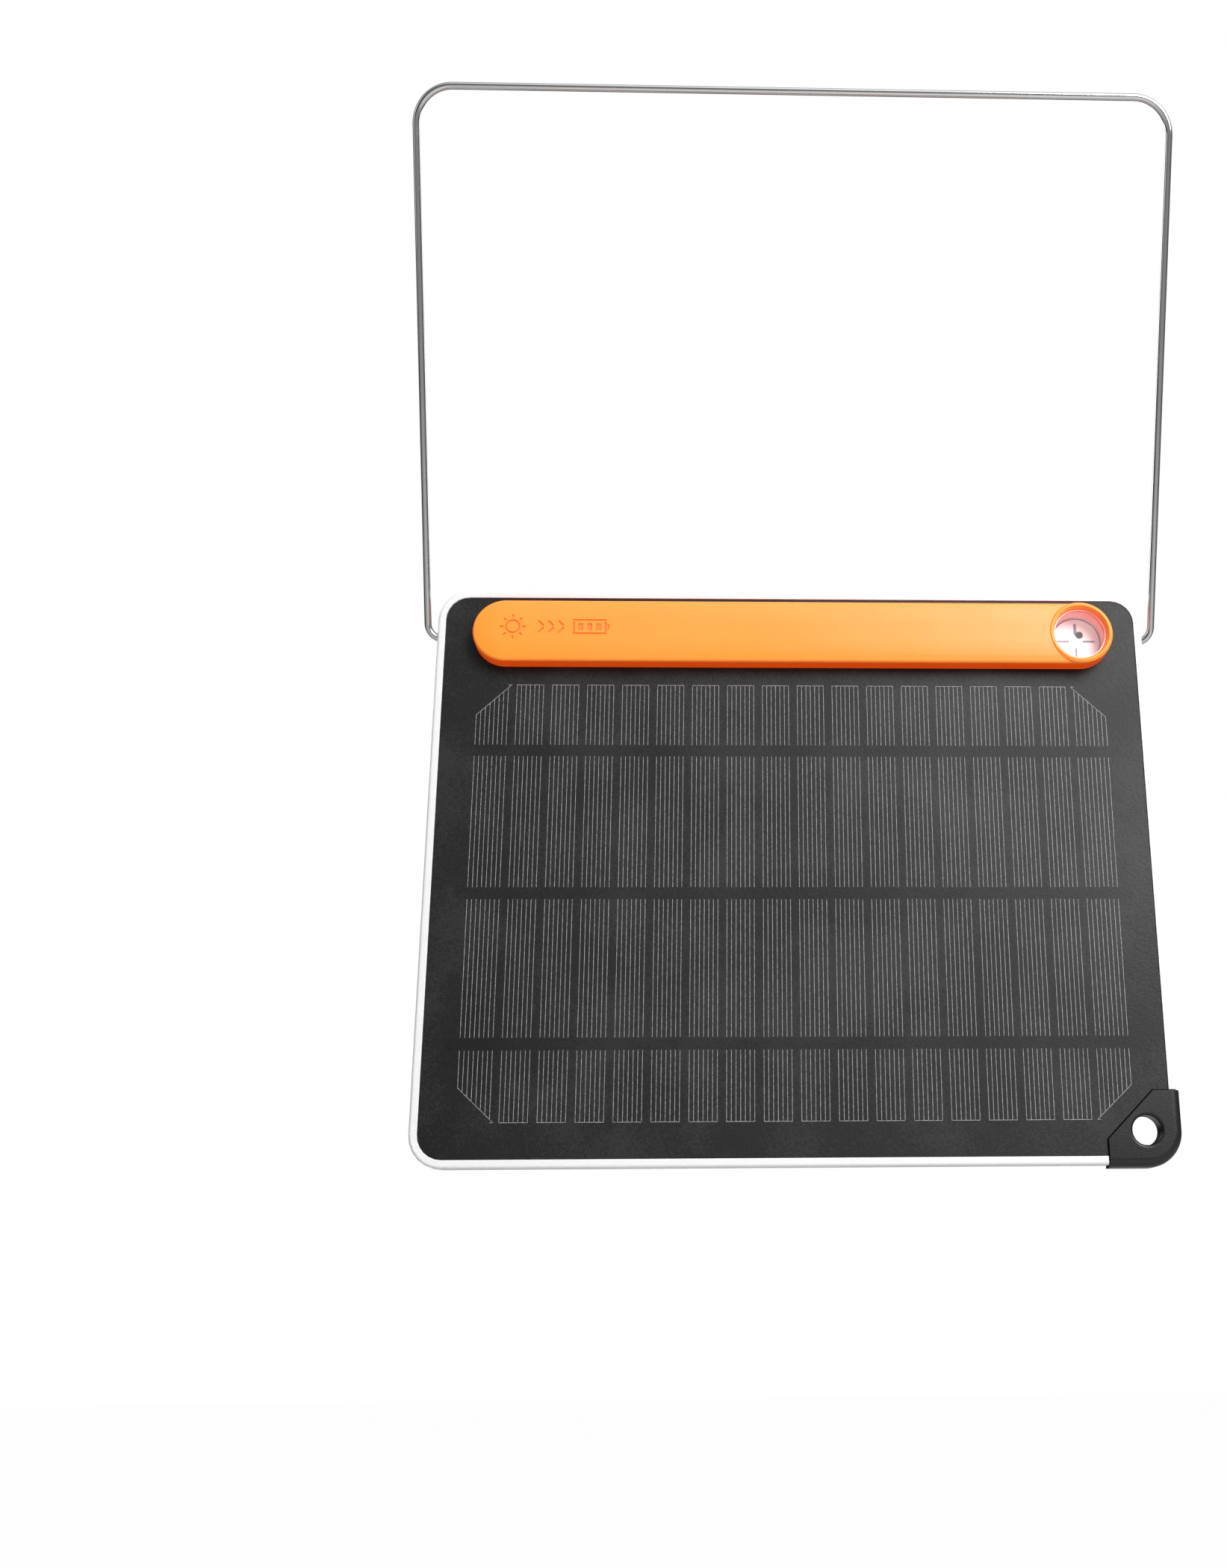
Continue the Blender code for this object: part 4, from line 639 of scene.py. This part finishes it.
class CHARGER_OT_bail(bpy.types.Operator):
    """Bend the wire bail from a round section, half of it mirrored"""

    bl_idname = "charger.bail"
    bl_label = "Wire bail"

    def execute(self, context):
        radius = WIRE_HIGH.z / 2
        leg = WIRE_HIGH.x - radius
        along = Vector((0.0, -HINGE.y, radius - HINGE.z)).normalized()
        length = (Vector((0.0, 0.0, radius)) - HINGE).length
        out = Vector((1.0, 0.0, 0.0))
        pin_end, pivot_bend, corner = 0.1190, 0.0055, 0.0130
        turn = Matrix.Rotation(math.radians(90), 4, "Y")
        bm = bmesh.new()
        bmesh.ops.create_circle(
            bm, cap_ends=True, radius=radius, segments=24,
            matrix=Matrix.Translation(HINGE + out * pin_end) @ turn,
        )
        tip = self.run(bm, bm.faces[:], out * (leg - pivot_bend - pin_end))
        centre = HINGE + out * (leg - pivot_bend) + along * pivot_bend
        tip = self.bend(bm, tip, centre, out.cross(along), 10)
        tip = self.run(bm, tip, along * (length - pivot_bend - corner))
        centre = HINGE + along * (length - corner) + out * (leg - corner)
        tip = self.bend(bm, tip, centre, out.cross(along), 16)
        tip = self.run(bm, tip, -out * (leg - corner))
        bmesh.ops.delete(bm, geom=tip, context="FACES_ONLY")
        whole = bm.verts[:] + bm.edges[:] + bm.faces[:]
        bmesh.ops.mirror(bm, geom=whole, axis="X", merge_dist=1e-5)
        bmesh.ops.remove_doubles(bm, verts=bm.verts[:], dist=1e-6)
        inside = [
            face for face in bm.faces if all(len(edge.link_faces) > 2 for edge in face.edges)
        ]
        bmesh.ops.delete(bm, geom=inside, context="FACES_ONLY")
        bmesh.ops.recalc_face_normals(bm, faces=bm.faces[:])
        # The near-black edge tint is painted shade along the wire's edges.
        finish = steel("bail_steel", (0.5, 0.5, 0.505), 0.12, (0.04, 0.04, 0.045))
        add_piece("bail_wire", bm, finish, "bail", ("wire_bail",))
        return {"FINISHED"}

    @staticmethod
    def run(bm, faces, step):
        """Extrude a wire's end straight on."""
        made = bmesh.ops.extrude_face_region(bm, geom=faces)["geom"]
        verts = [item for item in made if isinstance(item, bmesh.types.BMVert)]
        bmesh.ops.translate(bm, verts=verts, vec=step)
        return [item for item in made if isinstance(item, bmesh.types.BMFace)]

    @staticmethod
    def bend(bm, faces, centre, axis, steps):
        """Turn a wire's end through a right angle."""
        made = bmesh.ops.spin(
            bm, geom=faces, cent=centre, axis=axis, angle=math.radians(90), steps=steps,
            use_duplicate=False,
        )["geom_last"]
        return [item for item in made if isinstance(item, bmesh.types.BMFace)]


class CHARGER_OT_print(bpy.types.Operator):
    """Print the silver grid of the cell strips, broken at the tapes and cut at the corners"""

    bl_idname = "charger.print"
    bl_label = "Cell print"

    def execute(self, context):
        grid = context.scene.charger_print
        faces = (FILM_LOW.y - grid.line_height, FILM_LOW.y + grid.line_height)
        tapes = sorted(
            sum(corner.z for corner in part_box(f"busbar_tape_{row}")) / 2
            for row in ("upper", "middle", "lower")
        )
        margin = 0.0006
        low, high = STRIP_LOW.z + margin, STRIP_HIGH.z - margin
        strip_pitch = (LAST_STRIP[0].x - STRIP_LOW.x) / (STRIP_COUNT - 1)
        right = strip_pitch * STRIP_COUNT / 2
        pitch = strip_pitch / grid.steps
        bm = bmesh.new()
        for strip in range(STRIP_COUNT):
            first = strip * grid.steps + (strip > 0)
            last = (strip + 1) * grid.steps - (strip < STRIP_COUNT - 1)
            for line in range(first, last + 1):
                x = line * pitch - right
                cut = grid.corner_height * max(0.0, 1 - (right - abs(x)) / grid.corner_width)
                ends = [low + cut]
                for tape in tapes:
                    ends += [tape - grid.tape_gap / 2, tape + grid.tape_gap / 2]
                ends.append(high - cut)
                for start, end in zip(ends[::2], ends[1::2]):
                    slab(bm, (x, start), (x, end), grid.line_width, *faces)
            cap = [first * pitch - right, last * pitch - right]
            if strip in (0, STRIP_COUNT - 1):
                cap[0 if strip == 0 else 1] = math.copysign(right - grid.corner_width, cap[0])
            for z in (low, high):
                slab(bm, (cap[0], z), (cap[1], z), grid.line_width, *faces)
        for side in (-1, 1):
            for z, rise in ((low, grid.corner_height), (high, -grid.corner_height)):
                start = (side * (right - grid.corner_width), z)
                slab(bm, start, (side * right, z + rise), grid.line_width, *faces)
        add_piece("cell_print", bm, print_finish(), "panel")
        return {"FINISHED"}


class CHARGER_OT_panel(bpy.types.Operator):
    """Finish the milky frame, the black film and the bail's bushes"""

    bl_idname = "charger.panel"
    bl_label = "Panel"

    def execute(self, context):
        milky = plastic("milky_plastic", tuple(colours().moulding), 0.34, 3500.0, 0.000006, 0.02)
        milky.glow(0.3, (0.9, 0.9, 0.9), 0.002)
        finished_copy("rear_tray", "frame_moulding", milky.material, "milky_plastic", 0.0002)
        finished_copy("front_film", "film_sheet", film_finish(), "dark_film", 0.00008)
        bush = plastic("bush_plastic", (0.05, 0.05, 0.052), 0.45).material
        for side in ("left", "right"):
            name = f"bail_bush_{side}"
            finished_copy(f"hinge_bush_{side}", name, bush, "bush_plastic", 0.0001)
        return {"FINISHED"}


class CHARGER_OT_lash(bpy.types.Operator):
    """Shape the black lash corner: soft outer edges, a countersunk hole, a tongue in the frame"""

    bl_idname = "charger.lash"
    bl_label = "Lash corner"

    def execute(self, context):
        side, stub, corner = 0.0254, 0.0094, 0.0122
        spare, outer_round, trim, rim_round = 0.006, 0.0031, 0.0004, 0.0003
        tongue_width, tongue_half, tongue_shift = 0.014, 0.0005, 0.0018
        front, back = LASH_LOW.y, LASH_HIGH.y
        right, bottom = LASH_HIGH.x, LASH_LOW.z
        bm = self.block(right, bottom, side + spare, front, back)
        bmesh.ops.bevel(
            bm, geom=[edge for edge in bm.edges if self.upright(edge, right, bottom)],
            affect="EDGES", offset=corner, segments=20, profile=0.5, material=-1,
        )
        outer = [
            edge for edge in ring_edges(bm, front)
            if all(self.outside(point.co, right, bottom, corner) for point in edge.verts)
        ]
        soft_edges(bm, outer, outer_round, 8)
        outline = (
            (right + side, bottom - side), (right + side, bottom + side),
            (right - stub, bottom + side), (right - side, bottom + stub),
            (right - side, bottom - side),
        )
        shape = bmesh.new()
        shape.faces.new([shape.verts.new((x, front - CLEAR, z)) for x, z in outline])
        push(shape, shape.faces[:], back - front + 2 * CLEAR)
        bmesh.ops.recalc_face_normals(shape, faces=shape.faces[:])
        bm = carve(bm, shape, "INTERSECT")
        bmesh.ops.remove_doubles(bm, verts=bm.verts[:], dist=WELD)
        soft_edges(bm, sharp_edges(bm, front) + sharp_edges(bm, back), trim)
        tongue = bmesh.new()
        middle = (front + back) / 2 + tongue_shift
        inner = (right - (side + stub) / 2, bottom + (side + stub) / 2)
        ends = [(inner[0] + shift, inner[1] - shift) for shift in (0.0014, -0.0028)]
        slab(tongue, *ends, tongue_width, middle - tongue_half, middle + tongue_half)
        bm = carve(bm, tongue, "UNION")
        radius, lip = 0.0049, 0.0007
        hole = spun(
            (
                (0.0, front - lip), (radius + 2 * lip, front - lip), (radius, front + lip),
                (radius, back - lip), (radius + 2 * lip, back + lip), (0.0, back + lip),
            ),
            right - corner, bottom + corner,
        )
        bm = carve(bm, hole)
        centre = Vector((right - corner, 0.0, bottom + corner))
        rim = [
            edge for edge in bm.edges if edge.calc_face_angle(0.0) > math.radians(30.0)
            and all(self.at_rim(point.co, centre, radius, lip) for point in edge.verts)
        ]
        soft_edges(bm, rim, rim_round)
        nylon = plastic("black_nylon", tuple(colours().nylon), 0.36, 1800.0, 0.00003, 0.3)
        nylon.set(Specular_IOR_Level=0.3)
        name = "lash_corner_block"
        add_piece(name, bm, nylon.material, "panel", ("lash_corner",))
        return {"FINISHED"}

    @staticmethod
    def block(right, bottom, side, front, back):
        """A new bmesh: a square block whose right and bottom sides are the corner's own."""
        bm = bmesh.new()
        middle = Vector((right - side / 2, (front + back) / 2, bottom + side / 2))
        size = Matrix.Diagonal((side, back - front, side, 1.0))
        bmesh.ops.create_cube(bm, size=1.0, matrix=Matrix.Translation(middle) @ size)
        return bm

    @staticmethod
    def upright(edge, right, bottom):
        """Whether an edge is the block's outer corner, from front to back."""
        corner = Vector((right, 0.0, bottom))
        return all((point.co * Vector((1, 0, 1)) - corner).length < 1e-5 for point in edge.verts)

    @staticmethod
    def outside(place, right, bottom, corner):
        """Whether a point lies on the block's outer sides or its round corner."""
        across, down = place.x - (right - corner), place.z - (bottom + corner)
        if across > 0 and down < 0:
            return math.hypot(across, down) > corner - 0.0001
        return place.x > right - 0.0001 or place.z < bottom + 0.0001

    @staticmethod
    def at_rim(place, centre, radius, lip):
        """Whether a point lies on the lashing hole's rims."""
        away = math.hypot(place.x - centre.x, place.z - centre.z)
        return radius - 0.0001 < away < radius + 2 * lip


class CHARGER_OT_module(bpy.types.Operator):
    """Shape the orange module's front half, and finish its rear half and screws"""

    bl_idname = "charger.module"
    bl_label = "Battery module"

    def execute(self, context):
        sizes = context.scene.charger_module
        fit, post_radius, pilot_radius, post_gap = 0.00005, 0.0026, 0.0012, 0.0003
        face = MODULE_LOW.y + sizes.bead_rise
        height = MODULE_HIGH.z - MODULE_LOW.z
        length = MODULE_HIGH.x - MODULE_LOW.x
        middle = (MODULE_LOW + MODULE_HIGH) / 2
        bm = bar(length, height, face + sizes.crown, MODULE_HIGH.y, middle)
        soft_edges(bm, ring_edges(bm, face + sizes.crown), sizes.edge, 6)
        front = min(bm.faces, key=lambda side: side.calc_center_median().y)
        for share, width in ((0.45, 0.0016), (0.33, 0.0022), (0.22, 0.003)):
            bmesh.ops.inset_region(
                bm, faces=[front], thickness=width, depth=share * sizes.crown,
                use_even_offset=True,
            )
        inner = face + sizes.wall
        shrunk = 2 * sizes.wall
        cavity = bar(length - shrunk, height - shrunk, inner, MODULE_HIGH.y + CLEAR, middle)
        bm = carve(bm, cavity)
        opening = height / 2 - sizes.bead_width - fit
        mouth = bmesh.new()
        wide = opening + 0.0004
        rod(mouth, SUNDIAL_X, HINGE.z, wide, face - CLEAR, inner + post_gap, 96)
        bm = carve(bm, mouth)
        added = self.bead(opening, height / 2 - fit, inner, sizes)
        for screw in SCREWS:
            spot = sum(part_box(screw), Vector()) / 2
            start, end = inner - sizes.wall / 2, FRAME_HIGH.y - post_gap
            rod(added, spot.x, spot.z, post_radius, start, end)
        bm = carve(bm, added, "UNION")
        bmesh.ops.remove_doubles(bm, verts=bm.verts[:], dist=WELD)
        holes = bmesh.new()
        for screw in SCREWS:
            spot = sum(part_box(screw), Vector()) / 2
            start, end = inner + sizes.wall, FRAME_HIGH.y + CLEAR
            rod(holes, spot.x, spot.z, pilot_radius, start, end, 24)
        bm = carve(bm, holes)
        signs = self.signs(face - CLEAR, face + sizes.engraving)
        for side in signs.faces:
            side.material_index = 1
        bm = carve(bm, signs)
        colour, shaded_colour = tuple(colours().module), tuple(colours().module_shaded)
        orange = orange_plastic("orange_plastic", colour, shaded_colour)
        # Painted shade: the engravings take an orange halfway to the shaded colour, in place of
        # shade in the grooves.
        groove_shade = orange_plastic("orange_engraving_shade", mean(colour, shaded_colour), shaded_colour, 0.55)
        finishes = (orange, groove_shade)
        add_piece("module_front", bm, finishes, "panel", ("front_shell",))
        finished_copy("rear_shell", "module_rear", orange, "orange_plastic", 0.0002)
        black = steel("screw_steel", (0.09, 0.09, 0.095), 0.35, (0.3, 0.3, 0.3))
        for index, screw in enumerate(SCREWS, 1):
            finished_copy(screw, f"module_screw_{index}", black, "screw_steel", 0.0)
        return {"FINISHED"}

    @staticmethod
    def bead(inside, outside, inner, sizes):
        """The round bead that stands about the sundial's mouth."""
        top, face = MODULE_LOW.y, MODULE_LOW.y + sizes.bead_rise
        root, crest = face + sizes.edge - 0.0002, inside + 0.0010
        seat, foot, tube = LENS_LOW.y - 0.0005, face + 0.0003, inside + 0.0008
        section = (
            (inside, inner), (inside, seat), (crest, top), (outside, foot),
            (outside, root), (tube, root), (tube, inner),
        )
        bm = spun(section, SUNDIAL_X, HINGE.z)
        soft_edges(bm, ring_edges(bm, top), 0.0007, 6)
        return bm

    @staticmethod
    def signs(front, back):
        """Engraved signs for sun, flow and battery, as one cutter."""
        line, level = 0.0007, HINGE.z + 0.0010
        sun, ring, rays = MODULE_LOW.x + 0.0145, 0.0020, (0.0034, 0.0047)
        bm = spun(
            ((ring, front), (ring + line, front), (ring + line, back), (ring, back)),
            sun, level, 48,
        )
        for turn in range(8):
            angle = math.radians(45 * turn)
            ray = Vector((math.cos(angle), math.sin(angle)))
            start, end = (tuple(Vector((sun, level)) + ray * reach) for reach in rays)
            slab(bm, start, end, line, front, back)
        first_tip, step, depth, spread_out = 0.0110, 0.0036, 0.0019, 0.0023
        for index in range(3):
            tip = sun + first_tip + index * step
            for side in (-1, 1):
                tail = (tip - depth, level + side * spread_out)
                slab(bm, tail, (tip, level + side * line * 0.45), line, front, back)
        left, right, half, knob = sun + 0.0215, sun + 0.0335, 0.0026, 0.0010
        low, high = level - half, level + half
        outline = (
            ((left, high), (right, high)),
            ((left, low), (right, low)),
            ((left + line / 2, low + line), (left + line / 2, high - line)),
            ((right - line / 2, low + line), (right - line / 2, high - line)),
            ((right + line, level - knob), (right + line, level + knob)),
        )
        for start, end in outline:
            slab(bm, start, end, line, front, back)
        first_bar, bar_step, bar_half, bar_width = 0.0028, 0.0032, 0.0013, 0.0018
        for cell in range(3):
            x = left + first_bar + cell * bar_step
            slab(bm, (x, level - bar_half), (x, level + bar_half), bar_width, front, back)
        return bm


class CHARGER_OT_sundial(bpy.types.Operator):
    """Finish the sundial: clear window with its dot, printed dial and the cup round it"""

    bl_idname = "charger.sundial"
    bl_label = "Sundial"

    def execute(self, context):
        window = bmesh.new()
        radius = (LENS_HIGH.x - LENS_LOW.x) / 2
        rod(window, SUNDIAL_X, HINGE.z, radius, LENS_LOW.y, LENS_HIGH.y, 96)
        soft_edges(window, sharp_edges(window, LENS_LOW.y), 0.0002)
        # Painted highlight: a thin pink ring just behind the window's edge stands in for the lens
        # edge catching the orange wall's light.
        near, far = radius - 0.0005, radius - 0.0002
        low, high = LENS_LOW.y - 0.00018, LENS_LOW.y - 0.00002
        rim = spun(((near, low), (far, low), (far, high), (near, high)), SUNDIAL_X, HINGE.z)
        for side in rim.faces:
            side.material_index = 1
        merge_into(window, rim)
        edge_glint = plastic("lens_rim_glint", (0.95, 0.5, 0.42), 0.25).material
        finishes = (clear_plastic(), edge_glint)
        add_piece("dial_window", window, finishes, "panel", ("sundial_lens",))

        dot_low, dot_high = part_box("sundial_dot")
        dot = bmesh.new()
        spot = (dot_high.x - dot_low.x) / 2
        rod(dot, SUNDIAL_X, HINGE.z, spot, dot_low.y, dot_high.y, 40)
        soft_edges(dot, sharp_edges(dot, dot_high.y), 0.0001)
        black = plastic("black_plastic", (0.012, 0.005, 0.007), 0.7)
        black.set(Specular_IOR_Level=0.1)
        add_piece("dial_pointer", dot, black.material, "panel", ("sundial_dot",))

        plate = bmesh.new()
        radius = (DIAL_HIGH.x - DIAL_LOW.x) / 2
        face = DIAL_LOW.y + 0.0002
        rod(plate, SUNDIAL_X, HINGE.z, radius, face, DIAL_HIGH.y, 96)
        for turn in range(4):
            way = Vector((math.sin(turn * math.pi / 2), math.cos(turn * math.pi / 2)))
            ends = [Vector((SUNDIAL_X, HINGE.z)) + way * reach for reach in (0.0025, 0.0070)]
            width = 0.0011 if turn == 0 else 0.0007
            mark = bmesh.new()
            slab(mark, *ends, width, face - 0.00004, face - 0.00001)
            for side in mark.faces:
                side.material_index = 1
            merge_into(plate, mark)
        # The pink in the white dial is painted orange light from the shell.
        white = plastic("white_dial", (0.97, 0.9, 0.95), 0.5, 3000.0, 0.000004, 0.02)
        white.glow(0.2, (1.0, 0.6, 0.6), 0.001)
        grey = plastic("dial_print", (0.2, 0.17, 0.24), 0.5).material
        finishes = (white.material, grey)
        add_piece("dial_plate", plate, finishes, "panel", ("sundial_dial",))
        finished_copy("sundial_cup", "dial_cup", cup_plastic(), "pale_cup", 0.0001)
        return {"FINISHED"}


class CHARGER_OT_controls(bpy.types.Operator):
    """Finish what the user touches behind: button, lamps' guide and port cover"""

    bl_idname = "charger.controls"
    bl_label = "Controls"

    def execute(self, context):
        grey = plastic("button_plastic", (0.1, 0.1, 0.105), 0.4)
        cap = ("power_button", "button_cap", grey.material, "button_plastic")
        finished_copy(*cap, edge=0.00015, body="button")
        guide = plastic("frosted_guide", (0.8, 0.82, 0.82), 0.3)
        finished_copy("light_guide", "lamp_guide", guide.material, "frosted_guide", 0.0001)
        rubber = plastic("cover_rubber", (0.03, 0.03, 0.031), 0.62, 2600.0, 0.00003, 0.15)
        finished_copy("port_cover", "port_flap", rubber.material, "cover_rubber", 0.0002, "cover")
        return {"FINISHED"}


class CHARGER_OT_insides(bpy.types.Operator):
    """Give the sockets, circuit and battery inside the module their finishes"""

    bl_idname = "charger.insides"
    bl_label = "Insides"

    def execute(self, context):
        finishes = {
            "socket_steel": steel("socket_steel"),
            "nickel_contact": steel("nickel_contact", (0.6, 0.57, 0.5), 0.25),
            "solar_cell": plastic("solar_cell", (0.02, 0.024, 0.035), 0.25).material,
            "busbar_tape": plastic("busbar_tape", (0.012, 0.012, 0.012), 0.5).material,
            "black_board": plastic("black_board", (0.02, 0.02, 0.02), 0.5).material,
            "lamp": plastic("lamp", (0.8, 0.78, 0.65), 0.2).material,
            "tongue_plastic": plastic("tongue_plastic", (0.7, 0.7, 0.68), 0.45).material,
            "black_plastic": plastic("switch_plastic", (0.02, 0.02, 0.02), 0.4).material,
            "black_lead": plastic("black_lead", (0.02, 0.02, 0.02), 0.4).material,
            "red_lead": plastic("red_lead", (0.5, 0.02, 0.015), 0.4).material,
            "battery_sleeve": plastic("battery_sleeve", (0.05, 0.2, 0.5), 0.25).material,
            "circuit_green": plastic("circuit_green", (0.012, 0.13, 0.05), 0.35).material,
        }
        slots = {part["node"]: part["material_slot"] for part in frame["record"]["subparts"]}
        for node, thing in frame["nodes"].items():
            finish = finishes.get(slots.get(node))
            if finish is None:
                continue
            thing.data.materials.clear()
            thing.data.materials.append(finish)
        return {"FINISHED"}


class CHARGER_OT_stage(bpy.types.Operator):
    """Set the pale floor, the soft light and the camera"""

    bl_idname = "charger.stage"
    bl_label = "Stage"

    def execute(self, context):
        stage = context.scene.charger_stage
        floor_z = FRAME_LOW.z - stage.floor_drop
        bm = bmesh.new()
        bmesh.ops.create_grid(bm, x_segments=1, y_segments=1, size=6.0)
        bmesh.ops.translate(bm, verts=bm.verts[:], vec=(0.0, 0.0, floor_z))
        mesh = bpy.data.meshes.new("studio_floor")
        bm.to_mesh(mesh)
        bm.free()
        floor = bpy.data.objects.new("studio_floor", mesh)
        context.scene.collection.objects.link(floor)
        mesh.materials.append(self.pale_floor())

        target = Vector((0.0, HINGE.y, HINGE.z - 0.06))
        self.lamp("key_light", (0.85, -1.15, 0.5), target, 1.0, stage.key_power)
        self.lamp("fill_light", (-1.5, -0.6, 0.45), target, 1.0, stage.fill_power)
        self.lamp("low_light", (0.05, -0.25, floor_z + 0.05), target, 0.5, stage.low_power)
        for side in (-1, 1):
            place = (side * 1.4, 1.5, 0.9)
            self.lamp(f"back_light_{side}", place, target, 1.0, stage.back_power)
        self.sky(context.scene, stage.sky)
        self.camera(context.scene)
        context.scene.view_settings.view_transform = "Standard"
        return {"FINISHED"}

    @staticmethod
    def pale_floor():
        """Pale matt floor, lit from within as far as the eye sees it, so that no horizon shows."""
        pale = Finish("pale_floor", 0.8)
        grains = pale.group(grain_group(), Scale=30.0)
        tones = (0.42, 0.42, 0.42), (0.46, 0.46, 0.46)
        pale.colour(mixed(pale.tree, grains.outputs["Tone"], *tones))
        glow = pale.tree.nodes.new("ShaderNodeEmission")
        seen = pale.tree.nodes.new("ShaderNodeLightPath").outputs["Is Camera Ray"]
        choose = pale.tree.nodes.new("ShaderNodeMixShader")
        share = maths(pale.tree, "MULTIPLY", seen, 0.98)
        pale.tree.links.new(share, choose.inputs[0])
        pale.tree.links.new(pale.shader.outputs[0], choose.inputs[1])
        pale.tree.links.new(glow.outputs[0], choose.inputs[2])
        end = pale.tree.nodes["Material Output"]
        pale.tree.links.new(choose.outputs[0], end.inputs["Surface"])
        return pale.material

    @staticmethod
    def lamp(name, place, target, size, power):
        """A square soft light aimed at a point."""
        data = bpy.data.lights.new(name, "AREA")
        data.shape = "SQUARE"
        data.size = size
        data.energy = power
        lamp = bpy.data.objects.new(name, data)
        lamp.location = place
        lamp.rotation_euler = (target - Vector(place)).to_track_quat("-Z", "Y").to_euler()
        lamp.visible_camera = False
        bpy.context.scene.collection.objects.link(lamp)

    @staticmethod
    def sky(scene, strength):
        """White all round, softer from below, and plain white where the camera looks."""
        world = bpy.data.worlds.new("studio")
        scene.world = world
        world.use_nodes = True
        tree = world.node_tree
        tree.nodes.clear()
        ground = tree.nodes.new("ShaderNodeTexCoord").outputs["Generated"]
        split = tree.nodes.new("ShaderNodeSeparateXYZ")
        tree.links.new(ground, split.inputs[0])
        rise = spread(tree, split.outputs["Z"], 0.1, 0.8, 0.2 * strength, 2.1 * strength)
        behind = spread(tree, split.outputs["Y"], -0.1, 0.6, 1.0, 0.12)
        left = spread(tree, split.outputs["X"], -0.5, 0.2, 0.35, 1.0)
        dimmed = maths(tree, "MULTIPLY", maths(tree, "MULTIPLY", rise, behind), left)
        soft = tree.nodes.new("ShaderNodeBackground")
        tree.links.new(dimmed, soft.inputs["Strength"])
        plain = tree.nodes.new("ShaderNodeBackground")
        plain.inputs["Color"].default_value = (1.0, 1.0, 1.0, 1.0)
        soft.inputs["Color"].default_value = (1.0, 1.0, 1.0, 1.0)
        choose = tree.nodes.new("ShaderNodeMixShader")
        seen = tree.nodes.new("ShaderNodeLightPath").outputs["Is Camera Ray"]
        tree.links.new(seen, choose.inputs[0])
        tree.links.new(soft.outputs[0], choose.inputs[1])
        tree.links.new(plain.outputs[0], choose.inputs[2])
        out = tree.nodes.new("ShaderNodeOutputWorld")
        tree.links.new(choose.outputs[0], out.inputs["Surface"])

    @staticmethod
    def camera(scene):
        """From below and in front, looking up at the charger as it hangs."""
        data = bpy.data.cameras.new("camera")
        data.lens = 37.28
        data.sensor_width = 36.0
        data.shift_x = -0.1113
        data.clip_start = 0.01
        camera = bpy.data.objects.new("camera", data)
        camera.location = (-0.0227, -0.4723, -0.3973)
        camera.rotation_euler = [math.radians(turn) for turn in (107.035, 0.504, -1.994)]
        scene.collection.objects.link(camera)
        scene.camera = camera


class CHARGER_PT_panel(bpy.types.Panel):
    """Sidebar panel that lists the charger's pieces"""

    bl_idname = "CHARGER_PT_panel"
    bl_label = "Solar charger"
    bl_space_type = "VIEW_3D"
    bl_region_type = "UI"
    bl_category = "Charger"

    def draw(self, context):
        column = self.layout.column(align=True)
        for piece in PIECES:
            column.operator(piece.bl_idname)
        for group in SETTINGS:
            settings = getattr(context.scene, group)
            box = self.layout.box()
            for name in settings.__annotations__:
                box.prop(settings, name)


PIECES = (
    CHARGER_OT_stage,
    CHARGER_OT_bail,
    CHARGER_OT_panel,
    CHARGER_OT_lash,
    CHARGER_OT_print,
    CHARGER_OT_module,
    CHARGER_OT_sundial,
    CHARGER_OT_controls,
    CHARGER_OT_insides,
)
SETTINGS = {
    "charger_colours": ChargerColours,
    "charger_print": ChargerPrint,
    "charger_module": ChargerModule,
    "charger_stage": ChargerStage,
}


def register():
    for group in SETTINGS.values():
        bpy.utils.register_class(group)
    for piece in PIECES:
        bpy.utils.register_class(piece)
    bpy.utils.register_class(CHARGER_PT_panel)
    for name, group in SETTINGS.items():
        setattr(bpy.types.Scene, name, PointerProperty(type=group))


def unregister():
    for name in SETTINGS:
        delattr(bpy.types.Scene, name)
    bpy.utils.unregister_class(CHARGER_PT_panel)
    for group in reversed(PIECES + tuple(SETTINGS.values())):
        bpy.utils.unregister_class(group)


def main():
    register()
    for thing in list(bpy.data.objects):
        if thing.type in {"LIGHT", "CAMERA"} or thing.name == "Cube":
            bpy.data.objects.remove(thing)
    for piece in PIECES:
        action = piece.bl_idname.split(".")[1]
        getattr(bpy.ops.charger, action)()


if __name__ == "__main__":
    main()
